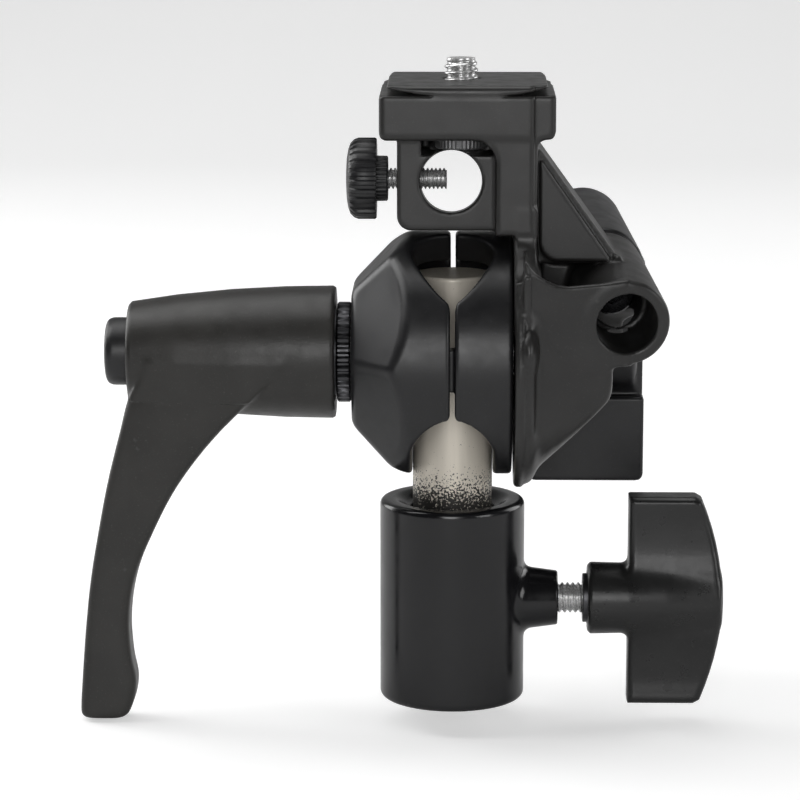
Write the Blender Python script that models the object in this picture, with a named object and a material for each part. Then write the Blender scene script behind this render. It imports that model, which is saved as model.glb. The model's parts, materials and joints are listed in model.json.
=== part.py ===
"""Swivel bracket that carries a studio light and an umbrella on a light stand.

A stand socket slips over a 16 mm spigot and is held by a T-screw. A steel stem rises from it
into a split drum. A ratchet lever squeezes the drum's two jaws on the stem, and that locks the
tilt. The cast frame beside the drum carries the umbrella hole, its thumbscrew and the shoe
that the light is screwed to. A rear housing is bolted to the frame through a long tube.

Frame: origin at the centre of the socket's roof, where the spigot's tip rests; +Z up the
stand, +X towards the T-screw, -Y towards the front. Numbers are millimetres.
"""

import math

import bmesh
import bpy
from mathutils import Matrix, Vector

METRES = 0.001  # finish() scales the finished shapes to metres
FIT = 0.3

# Stand socket
SOCKET_RADIUS = 13.5
SOCKET_TOP = 6.0
SOCKET_BOTTOM = -32.0
SPIGOT_BORE_RADIUS = 8.1
STEM_SEAT = 3.0
BOSS_END = 19.8
SCREW_HEIGHT = -13.2

# Stem and tilt axis
STEM_RADIUS = 7.4
STEM_TOP = 48.5
TILT_HEIGHT = 33.6

# T-screw of the socket
T_SCREW_RADIUS = 2.85
T_NECK_START = 25.4
T_NECK_RADIUS = 6.75
T_WING_START = 33.0
T_WING_END = 46.3
T_WING_CROWN = 50.6
T_WING_HALF = 20.0
T_WING_THICKNESS = 6.0

# Clamp drum
DRUM_RADIUS = 22.5
JAW_GAP = 0.45
INNER_JAW_END = 10.9
OUTER_JAW_END = -18.6
END_FACE_HALF = 12.5
FACET_START = -8.4
POCKET_RADIUS = 17.2
POCKET_HALF = 7.75
SLOT_RADIUS = 7.7
TOP_SLOT = math.radians(26.5)
TOP_SLOT_POINT = 11.4
BOTTOM_SLOT = (math.radians(-34), math.radians(42))
BOTTOM_SLOT_POINT = 8.9
BOLT_RADIUS = 4.0
BOLT_BORE_RADIUS = 4.35
LUG_HALF = 3.9
LUG_DEPTH = (17.4, 20.6)
LUG_REACH = -4.0

# Ratchet lever, from the drum outwards
COLLAR_RADIUS = 9.3
HUB_START = -21.7
HUB_END = -60.1
HUB_RADIUS = 12.3
HUB_END_RADIUS = 9.15
BUTTON_RADIUS = 6.3
BUTTON_END = -64.4

# Frame
FLANGE_START = 11.3
FLANGE_END = 13.0
FLANGE_RADIUS = 25.0
HUB_SIDE_RADIUS = 24.2
HUB_SIDE_END = 17.5
SHOE_LEFT = -13.2
SHOE_RIGHT = 18.3
SHOE_BOTTOM = 74.4
SHOE_TOP = 84.0
SHOE_LAND = 82.4
SADDLE_RADIUS = 62.0
LAND_RISE = 0.4
SHOE_FRONT = -12.8
SHOE_BACK = 19.0
POST_LEFT = 7.7
POST_RIGHT = 15.2
POST_BOTTOM = 57.0
POST_BACK = 12.0
BLOCK_LEFT = -10.2
BLOCK_BOTTOM = 57.5
BLOCK_FRONT = -9.4
BLOCK_BACK = 9.5
WINDOW_FLOOR = 71.3
WHEEL_ROOM_FLOOR = 68.6
UMBRELLA_HOLE_RADIUS = 5.7
UMBRELLA_HOLE_FRONT = Vector((-0.4, -9.4, 66.6))
UMBRELLA_HOLE_SLOPE = 0.115
SHELL_TOP = 49.4
SHELL_BACK = 11.5
GUSSET_FRONT = -8.0
GUSSET_STEP = 1.3
GUSSET_BACK = 9.0
GUSSET_TOP = 72.8
GUSSET_RIGHT = 30.9
PANEL_BOTTOM = 51.9

# Housing tube: its axis leans inwards and upwards towards the back
TUBE_FRONT = Vector((31.3, -20.0, 42.3))
TUBE_BACK = Vector((25.0, 45.0, 51.0))
TUBE_RADIUS = 7.8
REAR_TUBE_RADIUS = 8.2
TUBE_MOUTH_RADIUS = 5.5
TUBE_STEP_RADIUS = 4.6
TUBE_LENGTH = (TUBE_BACK - TUBE_FRONT).length
MOUTH_DEPTH = 13.0
HEAD_SEAT = 25.0
SEAM = 34.0
HOUSING_BOLT_RADIUS = 2.5

# Umbrella thumbscrew and light screw
THUMBSCREW_HEIGHT = 66.0
THUMBSCREW_RADIUS = 1.95
THUMBSCREW_TIP = -1.2
LIGHT_SCREW_X = 1.4
LIGHT_SCREW_Y = 3.0
LIGHT_SCREW_RADIUS = 3.1
LIGHT_SCREW_TOP = 88.0
WHEEL_RADIUS = 4.9
WHEEL_BOTTOM = 71.4
WHEEL_TOP = 74.1

ALONG_X = Matrix(((0, 0, 1, 0), (1, 0, 0, 0), (0, 1, 0, 0), (0, 0, 0, 1)))
TILT_AXIS = Matrix.Translation((0, 0, TILT_HEIGHT)) @ ALONG_X
SOCKET_SCREW_AXIS = Matrix.Translation((0, 0, SCREW_HEIGHT)) @ ALONG_X
THUMBSCREW_AXIS = Matrix.Translation((0, 0, THUMBSCREW_HEIGHT)) @ ALONG_X
LIGHT_SCREW_AXIS = Matrix.Translation((LIGHT_SCREW_X, LIGHT_SCREW_Y, 0))
TUBE_TURN = (TUBE_BACK - TUBE_FRONT).to_track_quat("Z", "Y").to_matrix().to_4x4()
TUBE_AXIS = Matrix.Translation(TUBE_FRONT) @ TUBE_TURN
UMBRELLA_LINE = Vector((0, 1, -UMBRELLA_HOLE_SLOPE))
UMBRELLA_TURN = UMBRELLA_LINE.to_track_quat("Z", "X").to_matrix().to_4x4()
UMBRELLA_AXIS = Matrix.Translation(UMBRELLA_HOLE_FRONT) @ UMBRELLA_TURN


# ---- Materials ----


def principled(name, colour, roughness, metallic=0.0):
    made = bpy.data.materials.new(name)
    made.use_nodes = True
    shader = made.node_tree.nodes["Principled BSDF"]
    shader.inputs["Base Color"].default_value = (*colour, 1)
    shader.inputs["Roughness"].default_value = roughness
    shader.inputs["Metallic"].default_value = metallic
    made.diffuse_color = (*colour, 1)
    return made


# ---- Building tools ----


def solid(name, bm):
    """A new object from a closed bmesh, its faces turned outwards."""
    bmesh.ops.recalc_face_normals(bm, faces=bm.faces)
    mesh = bpy.data.meshes.new(name)
    bm.to_mesh(mesh)
    bm.free()
    made = bpy.data.objects.new(name, mesh)
    bpy.context.scene.collection.objects.link(made)
    return made


def turned(name, stations, frame=None, segments=32, ring=False):
    """A turned solid. Stations are (distance along the axis, radius); a ring has a hole through."""
    frame = frame or Matrix()
    bm = bmesh.new()
    rows = []
    for along, radius in stations:
        count = segments if radius > 0 else 1
        angles = [math.tau * i / segments for i in range(count)]
        points = [Vector((radius * math.cos(a), radius * math.sin(a), along)) for a in angles]
        rows.append([bm.verts.new(frame @ point) for point in points])
    following = rows[1:] + rows[:1] if ring else rows[1:]
    for near, far in zip(rows, following):
        if is_flat_cap(near, far):
            bm.faces.new(near if len(far) == 1 else far)
            continue
        for i in range(segments):
            j = (i + 1) % segments
            corners = (near[i % len(near)], near[j % len(near)], far[j % len(far)], far[i % len(far)])
            bm.faces.new(list(dict.fromkeys(corners)))
    loose = [vert for vert in bm.verts if not vert.link_faces]
    bmesh.ops.delete(bm, geom=loose, context="VERTS")
    return solid(name, bm)


def is_flat_cap(near, far):
    """True if one row is a point on the axis in the other row's own plane."""
    if len(near) == len(far):
        return False
    rim, tip = (near, far[0]) if len(far) == 1 else (far, near[0])
    middle = sum((vert.co for vert in rim), Vector()) / len(rim)
    return (middle - tip.co).length < 0.001


def rod(name, radius, low, high, frame=None, segments=32, edge=0.0):
    """A plain cylinder along its frame's axis, with its end edges broken by `edge`."""
    stations = [(low, 0), (low, radius - edge), (low + edge, radius)]
    stations += [(high - edge, radius), (high, radius - edge), (high, 0)]
    if not edge:
        stations = [(low, 0), (low, radius), (high, radius), (high, 0)]
    return turned(name, stations, frame, segments)


def prism(name, outline, low, high, frame=None, edge=0.0):
    """An outline in the frame's plane, drawn out along the frame's axis."""
    frame = frame or Matrix()
    bm = bmesh.new()
    base = bm.faces.new([bm.verts.new((u, v, low)) for u, v in outline])
    swept = bmesh.ops.extrude_face_region(bm, geom=[base])["geom"]
    moved = [item for item in swept if isinstance(item, bmesh.types.BMVert)]
    bmesh.ops.translate(bm, vec=(0, 0, high - low), verts=moved)
    if edge:
        rims = [e for e in bm.edges if abs(e.verts[0].co.z - e.verts[1].co.z) < 1e-6]
        bmesh.ops.bevel(bm, geom=rims, offset=edge, segments=1, affect="EDGES")
    bmesh.ops.transform(bm, matrix=frame, verts=bm.verts)
    return solid(name, bm)


def block(name, low, high, edge=0.0, steps=1):
    """A box between two corners, with rounded edges."""
    bm = bmesh.new()
    bmesh.ops.create_cube(bm, size=1)
    size = Vector(high) - Vector(low)
    middle = (Vector(high) + Vector(low)) / 2
    for vert in bm.verts:
        vert.co = Vector(a * b for a, b in zip(vert.co, size)) + middle
    if edge:
        bmesh.ops.bevel(bm, geom=bm.edges[:], offset=edge, segments=steps, affect="EDGES")
    return solid(name, bm)


def hull(name, points):
    """The smallest convex solid around the points."""
    bm = bmesh.new()
    for point in points:
        bm.verts.new(point)
    made = bmesh.ops.convex_hull(bm, input=bm.verts)
    spare = set(made["geom_interior"] + made["geom_unused"])
    inner = [item for item in spare if isinstance(item, bmesh.types.BMVert)]
    bmesh.ops.delete(bm, geom=inner, context="VERTS")
    bmesh.ops.dissolve_limit(bm, angle_limit=math.radians(0.5), verts=bm.verts, edges=bm.edges)
    return solid(name, bm)


def loft(name, rings):
    """A solid through rings of equal point counts, capped at both ends."""
    bm = bmesh.new()
    rows = [[bm.verts.new(point) for point in ring] for ring in rings]
    for near, far in zip(rows, rows[1:]):
        for i in range(len(near)):
            j = (i + 1) % len(near)
            bm.faces.new((near[i], near[j], far[j], far[i]))
    bm.faces.new(rows[0])
    bm.faces.new(rows[-1])
    return solid(name, bm)


def combine(target, tools, operation):
    """Applies a Boolean with each tool in turn and removes the tools."""
    for tool in tools:
        step = target.modifiers.new("step", "BOOLEAN")
        step.operation = operation
        step.object = tool
        step.solver = "EXACT"
        bpy.context.view_layer.update()
        evaluated = target.evaluated_get(bpy.context.evaluated_depsgraph_get())
        mesh = bpy.data.meshes.new_from_object(evaluated)
        target.modifiers.clear()
        target.data = mesh
        bpy.data.objects.remove(tool)
    return target


def join(target, *tools):
    return combine(target, tools, "UNION")


def cut(target, *tools):
    return combine(target, tools, "DIFFERENCE")


def keep(target, *tools):
    return combine(target, tools, "INTERSECT")


def arc(centre_u, centre_v, radius, start, end, steps):
    """Points on an arc, angles in degrees."""
    angles = [math.radians(start + (end - start) * i / steps) for i in range(steps + 1)]
    return [(centre_u + radius * math.cos(a), centre_v + radius * math.sin(a)) for a in angles]


def circle_points(frame, radius, along, count=24):
    angles = [math.tau * i / count for i in range(count)]
    return [frame @ Vector((radius * math.cos(a), radius * math.sin(a), along)) for a in angles]


def polygon(radius, sides, turn=0.0):
    """Corners of a regular polygon whose flats are `radius` from its centre."""
    corner = radius / math.cos(math.pi / sides)
    angles = [turn + math.tau * (i + 0.5) / sides for i in range(sides)]
    return [(corner * math.cos(a), corner * math.sin(a)) for a in angles]


def toothed(radius, depth, teeth):
    """Outline of a serrated wheel, with flat crests and roots."""
    points = []
    for i in range(teeth):
        for share, sink in ((0.0, 0), (0.45, 0), (0.6, depth), (0.85, depth)):
            angle = math.tau * (i + share) / teeth
            points.append(((radius - sink) * math.cos(angle), (radius - sink) * math.sin(angle)))
    return points


def finish(made, material, pivot, parent=None):
    """Scales to metres, sets the origin on the pivot, the material and shading, and parents."""
    pivot = Vector(pivot)
    made.data.transform(Matrix.Scale(METRES, 4) @ Matrix.Translation(-pivot))
    made.data.materials.clear()
    made.data.materials.append(material)
    made.data.shade_smooth()
    made.data.set_sharp_from_angle(angle=math.radians(32))
    return hang(made, pivot, parent)


def hang(made, place, parent):
    """Puts an object at a place given in millimetres, under its parent."""
    made.location = Vector(place) * METRES
    made.parent = parent
    while parent:
        made.location -= parent.location
        parent = parent.parent
    return made


def empty(name, place, parent=None):
    made = bpy.data.objects.new(name, None)
    made.empty_display_size = 8 * METRES
    bpy.context.scene.collection.objects.link(made)
    return hang(made, place, parent)


# ---- Stand socket and stem ----


def stand_socket(material):
    top, bottom, outer = SOCKET_TOP, SOCKET_BOTTOM, SOCKET_RADIUS
    seat_radius = STEM_RADIUS + FIT
    shell = [
        (STEM_SEAT, 0),
        (STEM_SEAT, seat_radius),
        (top - 1.6, seat_radius),
        (top - 1.2, seat_radius + 1.0),
        (top - 0.2, seat_radius + 2.3),
        (top, seat_radius + 2.9),
        (top, outer - 1.2),
        (top - 0.35, outer - 0.35),
        (top - 1.2, outer),
        (bottom + 1.0, outer),
        (bottom + 0.3, outer - 0.3),
        (bottom, outer - 1.0),
        (bottom, SPIGOT_BORE_RADIUS + 0.9),
        (bottom + 0.9, SPIGOT_BORE_RADIUS),
        (0, SPIGOT_BORE_RADIUS),
        (0, 0),
    ]
    body = turned("stand_socket", shell, segments=48)
    root = SPIGOT_BORE_RADIUS + 2.5
    boss_profile = [
        (root, 0),
        (root, 6.3),
        (BOSS_END - 0.5, 5.2),
        (BOSS_END, 4.7),
        (BOSS_END, 0),
    ]
    boss = turned("boss", boss_profile, SOCKET_SCREW_AXIS, 24)
    bore = rod("bore", T_SCREW_RADIUS + FIT, 3, BOSS_END + 2, SOCKET_SCREW_AXIS, 20)
    join(body, boss)
    cut(body, bore)
    return finish(body, material, (0, 0, 0))


def pivot_stem(material, parent):
    bar = rod("pivot_stem", STEM_RADIUS, STEM_SEAT + FIT, STEM_TOP, segments=40, edge=0.5)
    cross = rod("cross", BOLT_BORE_RADIUS, -12, 12, TILT_AXIS, 24)
    cut(bar, cross)
    return finish(bar, material, (0, 0, 0), parent)


# ---- Socket T-screw ----


def socket_screw(material, parent):
    tip, end = 8.9, 36.0
    shank = rod("socket_screw", T_SCREW_RADIUS, tip, end, SOCKET_SCREW_AXIS, 20, 0.5)
    return finish(shank, material, (0, 0, SCREW_HEIGHT), parent)


def knob_ferrule(material, parent):
    loop = [
        (T_NECK_START - 0.9, T_SCREW_RADIUS + FIT),
        (T_NECK_START - 0.9, 4.6),
        (T_NECK_START + 2.0, 4.6),
        (T_NECK_START + 2.0, T_SCREW_RADIUS + FIT),
    ]
    made = turned("knob_ferrule", loop, SOCKET_SCREW_AXIS, 24, ring=True)
    return finish(made, material, (0, 0, SCREW_HEIGHT), parent)


def socket_knob(material, parent):
    """T-shaped wing on a round neck; its crown bulges, and each face is dished beside the hub."""
    half, thick = T_WING_HALF, T_WING_THICKNESS / 2
    sag = T_WING_CROWN - T_WING_END
    radius = (half * half + sag * sag) / (2 * sag)
    spread = math.degrees(math.asin(half / radius))
    crown = arc(T_WING_CROWN - radius, 0, radius, -spread, spread, 10)
    outline = [(T_WING_START, -half + 0.8), (T_WING_START + 0.8, -half)]
    outline += [(u - 0.8, v) if abs(v) > half - 1e-6 else (u, v) for u, v in crown]
    outline += [(T_WING_START + 0.8, half), (T_WING_START, half - 0.8)]
    upright = Matrix.Translation((0, 0, SCREW_HEIGHT)) @ Matrix.Rotation(math.pi / 2, 4, "X")
    wing = prism("socket_knob", outline, -thick, thick, upright, 0.7)
    neck_profile = [
        (T_NECK_START, 0),
        (T_NECK_START, T_NECK_RADIUS - 0.6),
        (T_NECK_START + 0.6, T_NECK_RADIUS),
        (T_WING_CROWN - 3.2, T_NECK_RADIUS - 0.3),
        (T_WING_CROWN - 1.2, T_NECK_RADIUS - 1.6),
        (T_WING_CROWN - 0.4, T_NECK_RADIUS - 3.6),
        (T_WING_CROWN - 0.2, 0),
    ]
    neck = turned("neck", neck_profile, SOCKET_SCREW_AXIS, 28)
    join(wing, neck)
    mouth = rod("mouth", 4.6 + FIT, T_NECK_START - 1, T_NECK_START + 2.3, SOCKET_SCREW_AXIS, 24)
    bore = rod("bore", T_SCREW_RADIUS + FIT, T_NECK_START - 1, 36.3, SOCKET_SCREW_AXIS, 20)
    cut(wing, mouth, bore)
    return finish(wing, material, (0, 0, SCREW_HEIGHT), parent)


# ---- Clamp drum ----


def radial(angle, upwards):
    """Frame whose axis leaves the tilt axis at an angle forward of straight up or down."""
    lean = angle if upwards else math.pi - angle
    return Matrix.Translation((0, 0, TILT_HEIGHT)) @ Matrix.Rotation(lean, 4, "X")


def teardrop(point, sense):
    """Outline of a slot's front end: round behind, drawn out to a blunt point."""
    outline = arc(0, 0, SLOT_RADIUS, 0, 180, 12)
    outline = [(u, -sense * v) for u, v in outline]
    power = 1.4
    for i in range(1, 12):
        across = -1 + 2 * i / 12
        along = (1 - abs(across) ** power) ** (1 / power)
        outline.append((across * SLOT_RADIUS, sense * point * along))
    return outline


def drum_pocket():
    """The room in which the stem swings: a flat drum with openings at the top and the bottom."""
    reach = DRUM_RADIUS + 4
    back, front = BOTTOM_SLOT
    angles = [back + (front - back) * i / 8 for i in range(9)]
    fan = [(0, 0)] + [(-reach * math.sin(a), -reach * math.cos(a)) for a in angles]
    width = SLOT_RADIUS - 0.1
    return [
        rod("pocket", POCKET_RADIUS, -POCKET_HALF, POCKET_HALF, TILT_AXIS, 48),
        prism("top_slot", teardrop(TOP_SLOT_POINT, -1), 0, reach, radial(TOP_SLOT, True)),
        prism("bottom_front", teardrop(BOTTOM_SLOT_POINT, 1), 0, reach, radial(front, False)),
        rod("bottom_back", SLOT_RADIUS, 0, reach, radial(back, False), 32),
        prism("bottom_middle", fan, -width, width, TILT_AXIS),
    ]


def jaw_blank(name, low, high):
    return rod(name, DRUM_RADIUS, low, high, TILT_AXIS, 64, 0.5)


def inner_jaw(material, parent):
    jaw = jaw_blank("inner_jaw", JAW_GAP, INNER_JAW_END)
    cut(jaw, rod("bore", BOLT_BORE_RADIUS, -1, 20, TILT_AXIS, 24), *drum_pocket())
    for side in (-1, 1):
        near, far = sorted((side * LUG_DEPTH[0], side * LUG_DEPTH[1]))
        low = (LUG_REACH, near, TILT_HEIGHT - LUG_HALF)
        high = (JAW_GAP + 3, far, TILT_HEIGHT + LUG_HALF)
        join(jaw, block("lug", low, high, 0.4))
    return finish(jaw, material, (0, 0, TILT_HEIGHT), parent)


def outer_jaw(material, parent):
    """Half drum with six flat facets cut across its outer end."""
    jaw = jaw_blank("outer_jaw", OUTER_JAW_END - 1, -JAW_GAP)
    slope = (DRUM_RADIUS - END_FACE_HALF) / (FACET_START - OUTER_JAW_END)
    wide = END_FACE_HALF - slope * OUTER_JAW_END
    corners = [[Vector((u, v, along)) for u, v in polygon(radius, 6, math.pi / 6)]
               for along, radius in ((OUTER_JAW_END, END_FACE_HALF), (0, wide))]
    pyramid = loft("pyramid", [[TILT_AXIS @ point for point in ring] for ring in corners])
    keep(jaw, pyramid)
    bore = rod("bore", BOLT_BORE_RADIUS, -25, 1, TILT_AXIS, 24)
    seat = rod("seat", 8.3, OUTER_JAW_END - 1, OUTER_JAW_END + 1.2, TILT_AXIS, 32)
    cut(jaw, bore, seat, *drum_pocket())
    for side in (-1, 1):
        near, far = sorted((side * (LUG_DEPTH[0] - 1), side * (LUG_DEPTH[1] + FIT)))
        low = (LUG_REACH - 1, near, TILT_HEIGHT - LUG_HALF - FIT)
        high = (0, far, TILT_HEIGHT + LUG_HALF + FIT)
        cut(jaw, block("lug_room", low, high))
    return finish(jaw, material, (0, 0, TILT_HEIGHT), parent)


def thrust_washer(material, parent):
    low, high = OUTER_JAW_END - 0.2, OUTER_JAW_END + 0.9
    loop = [(low, BOLT_BORE_RADIUS), (low, 7.9), (high, 7.9), (high, BOLT_BORE_RADIUS)]
    made = turned("thrust_washer", loop, TILT_AXIS, 32, ring=True)
    return finish(made, material, (0, 0, TILT_HEIGHT), parent)


def clamp_bolt(material, parent):
    """M8 bolt through the stem; its hexagon head is held in the frame."""
    shank = rod("clamp_bolt", BOLT_RADIUS, -34, 16, TILT_AXIS, 24, 0.6)
    head = prism("head", polygon(6.5, 6), 15.2, 20.4, TILT_AXIS, 0.4)
    join(shank, head)
    return finish(shank, material, (0, 0, TILT_HEIGHT), parent)


# ---- Ratchet lever ----


def ratchet_insert(material, parent):
    """Threaded bush with a serrated collar; the lever sits on its sleeve."""
    low = HUB_START + 0.35
    body = prism("ratchet_insert", toothed(COLLAR_RADIUS, 0.7, 32), low, -19.1, TILT_AXIS)
    sleeve = rod("sleeve", 8.0, -41.0, low + 0.5, TILT_AXIS, 24, 0.4)
    join(body, sleeve)
    bore = rod("bore", BOLT_BORE_RADIUS, -36.0, -10, TILT_AXIS, 24)
    tapped = rod("tapped", 2.35, -45, -35, TILT_AXIS, 16)
    cut(body, bore, tapped)
    return finish(body, material, (0, 0, TILT_HEIGHT), parent)


def arm_section(height, left, right, half_width, count=16):
    """One rounded, slightly boxy section of the lever's arm, at a height."""
    points = []
    for i in range(count):
        angle = math.tau * i / count
        across, deep = math.cos(angle), math.sin(angle)
        across = math.copysign(abs(across) ** 0.7, across)
        deep = math.copysign(abs(deep) ** 0.7, deep)
        middle = (left + right) / 2
        points.append(Vector((middle + across * (right - left) / 2, deep * half_width, height)))
    return points


def lever_handle(material, parent):
    """Barrel around the insert, and an arm that curves down and out to a flared tip."""
    start, end = HUB_START, HUB_END
    barrel = [
        (end, 0),
        (end, HUB_END_RADIUS - 0.8),
        (end + 0.8, HUB_END_RADIUS),
        (end + 9, HUB_END_RADIUS + 1.5),
        (end + 19, HUB_RADIUS - 0.7),
        (end + 29, HUB_RADIUS - 0.1),
        (start - 0.7, HUB_RADIUS),
        (start, HUB_RADIUS - 0.7),
        (start, 0),
    ]
    handle = turned("lever_handle", barrel, TILT_AXIS, 40)
    sections = (
        (33.0, -56.6, -31.5, 7.2),
        (26.0, -59.8, -36.8, 7.4),
        (19.4, -61.6, -43.2, 6.6),
        (9.3, -64.2, -50.9, 5.6),
        (0.0, -66.1, -55.8, 5.0),
        (-9.0, -67.7, -59.4, 4.7),
        (-18.0, -68.8, -60.7, 4.6),
        (-24.5, -69.4, -60.3, 4.6),
        (-29.5, -69.8, -59.5, 4.5),
        (-34.0, -70.1, -60.6, 4.3),
        (-36.6, -70.1, -63.2, 3.6),
    )
    arm = loft("arm", [arm_section(*row) for row in sections])
    join(handle, arm)
    sleeve_room = rod("sleeve_room", 8.35, -41.4, start + 1, TILT_AXIS, 28)
    neck_room = rod("neck_room", 2.5, -50, -40, TILT_AXIS, 16)
    chamber = rod("chamber", 5.2, -56, -43.8, TILT_AXIS, 20)
    button_room = rod("button_room", BUTTON_RADIUS + FIT, end - 1, -52, TILT_AXIS, 28)
    cut(handle, sleeve_room, neck_room, chamber, button_room)
    return finish(handle, material, (0, 0, TILT_HEIGHT), parent)


def lever_screw(material, parent):
    """Retaining screw that holds the lever and its spring on the insert."""
    shank = rod("lever_screw", 2.0, -51.4, -37, TILT_AXIS, 16, 0.3)
    head = rod("head", 4.2, -51.4, -49.2, TILT_AXIS, 24, 0.3)
    join(shank, head)
    cut(shank, prism("hexagon", polygon(1.5, 6), -53, -50.2, TILT_AXIS))
    return finish(shank, material, (0, 0, TILT_HEIGHT), parent)


def lever_spring(material, parent):
    """Coil spring between the lever's inner shoulder and the screw's head."""
    turns, wire, mean_radius = 3.5, 0.45, 3.6
    low, high = -48.4, -44.6
    steps, around = 49, 6
    rings = []
    for i in range(steps + 1):
        share = i / steps
        angle = math.tau * turns * share
        outward = Vector((math.cos(angle), math.sin(angle), 0))
        centre = mean_radius * outward + Vector((0, 0, low + (high - low) * share))
        ring = []
        for k in range(around):
            turn = math.tau * k / around
            away = outward * math.cos(turn) + Vector((0, 0, math.sin(turn)))
            ring.append(TILT_AXIS @ (centre + wire * away))
        rings.append(ring)
    return finish(loft("lever_spring", rings), material, (0, 0, TILT_HEIGHT), parent)


def lever_button(material, parent):
    profile = [
        (BUTTON_END, 0),
        (BUTTON_END, BUTTON_RADIUS - 1.3),
        (BUTTON_END + 0.4, BUTTON_RADIUS - 0.4),
        (BUTTON_END + 1.3, BUTTON_RADIUS),
        (-55.2, BUTTON_RADIUS),
        (-55.2, 0),
    ]
    made = turned("lever_button", profile, TILT_AXIS, 28)
    return finish(made, material, (0, 0, TILT_HEIGHT), parent)


# ---- Frame casting ----


def upright_prism(name, outline, front, back, edge=0.0):
    """A front-view outline of (x, z) points, drawn from front to back."""
    turn = Matrix.Rotation(math.pi / 2, 4, "X")
    return prism(name, outline, -back, -front, turn, edge)


def shoe_and_post():
    """T-shaped front: the shoe's underside runs down into the post through two fillets."""
    inner, outer = 4.3, 2.6
    outline = [(SHOE_LEFT, SHOE_TOP), (SHOE_LEFT, SHOE_BOTTOM + 1.2), (SHOE_LEFT + 1.2, SHOE_BOTTOM)]
    outline += arc(POST_LEFT - inner, SHOE_BOTTOM - inner, inner, 90, 0, 5)
    outline += [(POST_LEFT, POST_BOTTOM), (POST_RIGHT, POST_BOTTOM)]
    outline += arc(POST_RIGHT + outer, SHOE_BOTTOM - outer + 0.6, outer, 180, 100, 4)
    outline += [(SHOE_RIGHT, SHOE_BOTTOM + 1.4), (SHOE_RIGHT, SHOE_TOP)]
    return upright_prism("bracket_frame", outline, SHOE_FRONT, POST_BACK, 0.6)


def umbrella_block():
    corner = 2.6
    outline = [(POST_LEFT + 1, SHOE_BOTTOM + 2), (BLOCK_LEFT, SHOE_BOTTOM + 2)]
    outline += arc(BLOCK_LEFT + corner, BLOCK_BOTTOM + corner, corner, 180, 270, 4)
    outline += [(POST_LEFT + 1, BLOCK_BOTTOM)]
    return upright_prism("umbrella_block", outline, BLOCK_FRONT, BLOCK_BACK, 0.5)


def gusset():
    """Triangular web in the corner between the post and the tube."""
    outline = [
        (POST_RIGHT - 2, GUSSET_TOP),
        (POST_RIGHT + 0.1, GUSSET_TOP),
        (GUSSET_RIGHT, 51.1),
        (GUSSET_RIGHT, 47.5),
        (POST_RIGHT - 2, 47.5),
    ]
    return upright_prism("gusset", outline, GUSSET_FRONT + GUSSET_STEP, GUSSET_BACK, 0.4)


def gusset_face():
    """Raised triangle on the gusset's front, with a rounded lower corner."""
    left = POST_RIGHT + 0.75
    corner = 3.5
    outline = [(left, 69.9)]
    outline += arc(left + corner, PANEL_BOTTOM + corner, corner, 180, 270, 5)
    outline += [(28.4, PANEL_BOTTOM)]
    return upright_prism("gusset_face", outline, GUSSET_FRONT, GUSSET_BACK - 2, 0.4)


def front_shell():
    """Skin between the drum's side of the frame and the tube, open at the top right."""
    points = []
    for along, radius in ((FLANGE_END, HUB_SIDE_RADIUS), (HUB_SIDE_END, HUB_SIDE_RADIUS - 1.2)):
        ring = circle_points(TILT_AXIS, radius, along, 40)
        points += [p for p in ring if p.z < SHELL_TOP and p.y < SHELL_BACK]
        points += [Vector((along, SHELL_BACK, z)) for z in (17, SHELL_TOP)]
        points += [Vector((along, -14, SHELL_TOP))]
    points += circle_points(TUBE_AXIS, TUBE_RADIUS - 0.1, 2, 24)
    points += circle_points(TUBE_AXIS, TUBE_RADIUS - 0.1, SEAM - 1, 24)
    shell = hull("front_shell", points)
    beyond = [(13.9, 10.4), (28.7, 28.1), (28.7, 34.0), (60, 34.0), (60, -10), (13.9, -10)]
    return cut(shell, upright_prism("beyond", beyond, -60, 60))


def saddle():
    """Cutter for the shoe's top: a flat land between two flanks that curve up around a barrel."""
    middle = (SHOE_LEFT + SHOE_RIGHT) / 2
    outline = [(SHOE_RIGHT + 3, SHOE_TOP + 4), (SHOE_LEFT - 3, SHOE_TOP + 4)]
    for i in range(17):
        across = -18.5 + 37 * i / 16
        rise = SADDLE_RADIUS - math.sqrt(SADDLE_RADIUS**2 - across**2)
        outline.append((middle + across, SHOE_LAND + max(0.0, rise - LAND_RISE)))
    return upright_prism("saddle", outline, SHOE_FRONT - 5, SHOE_BACK + 5)


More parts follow.
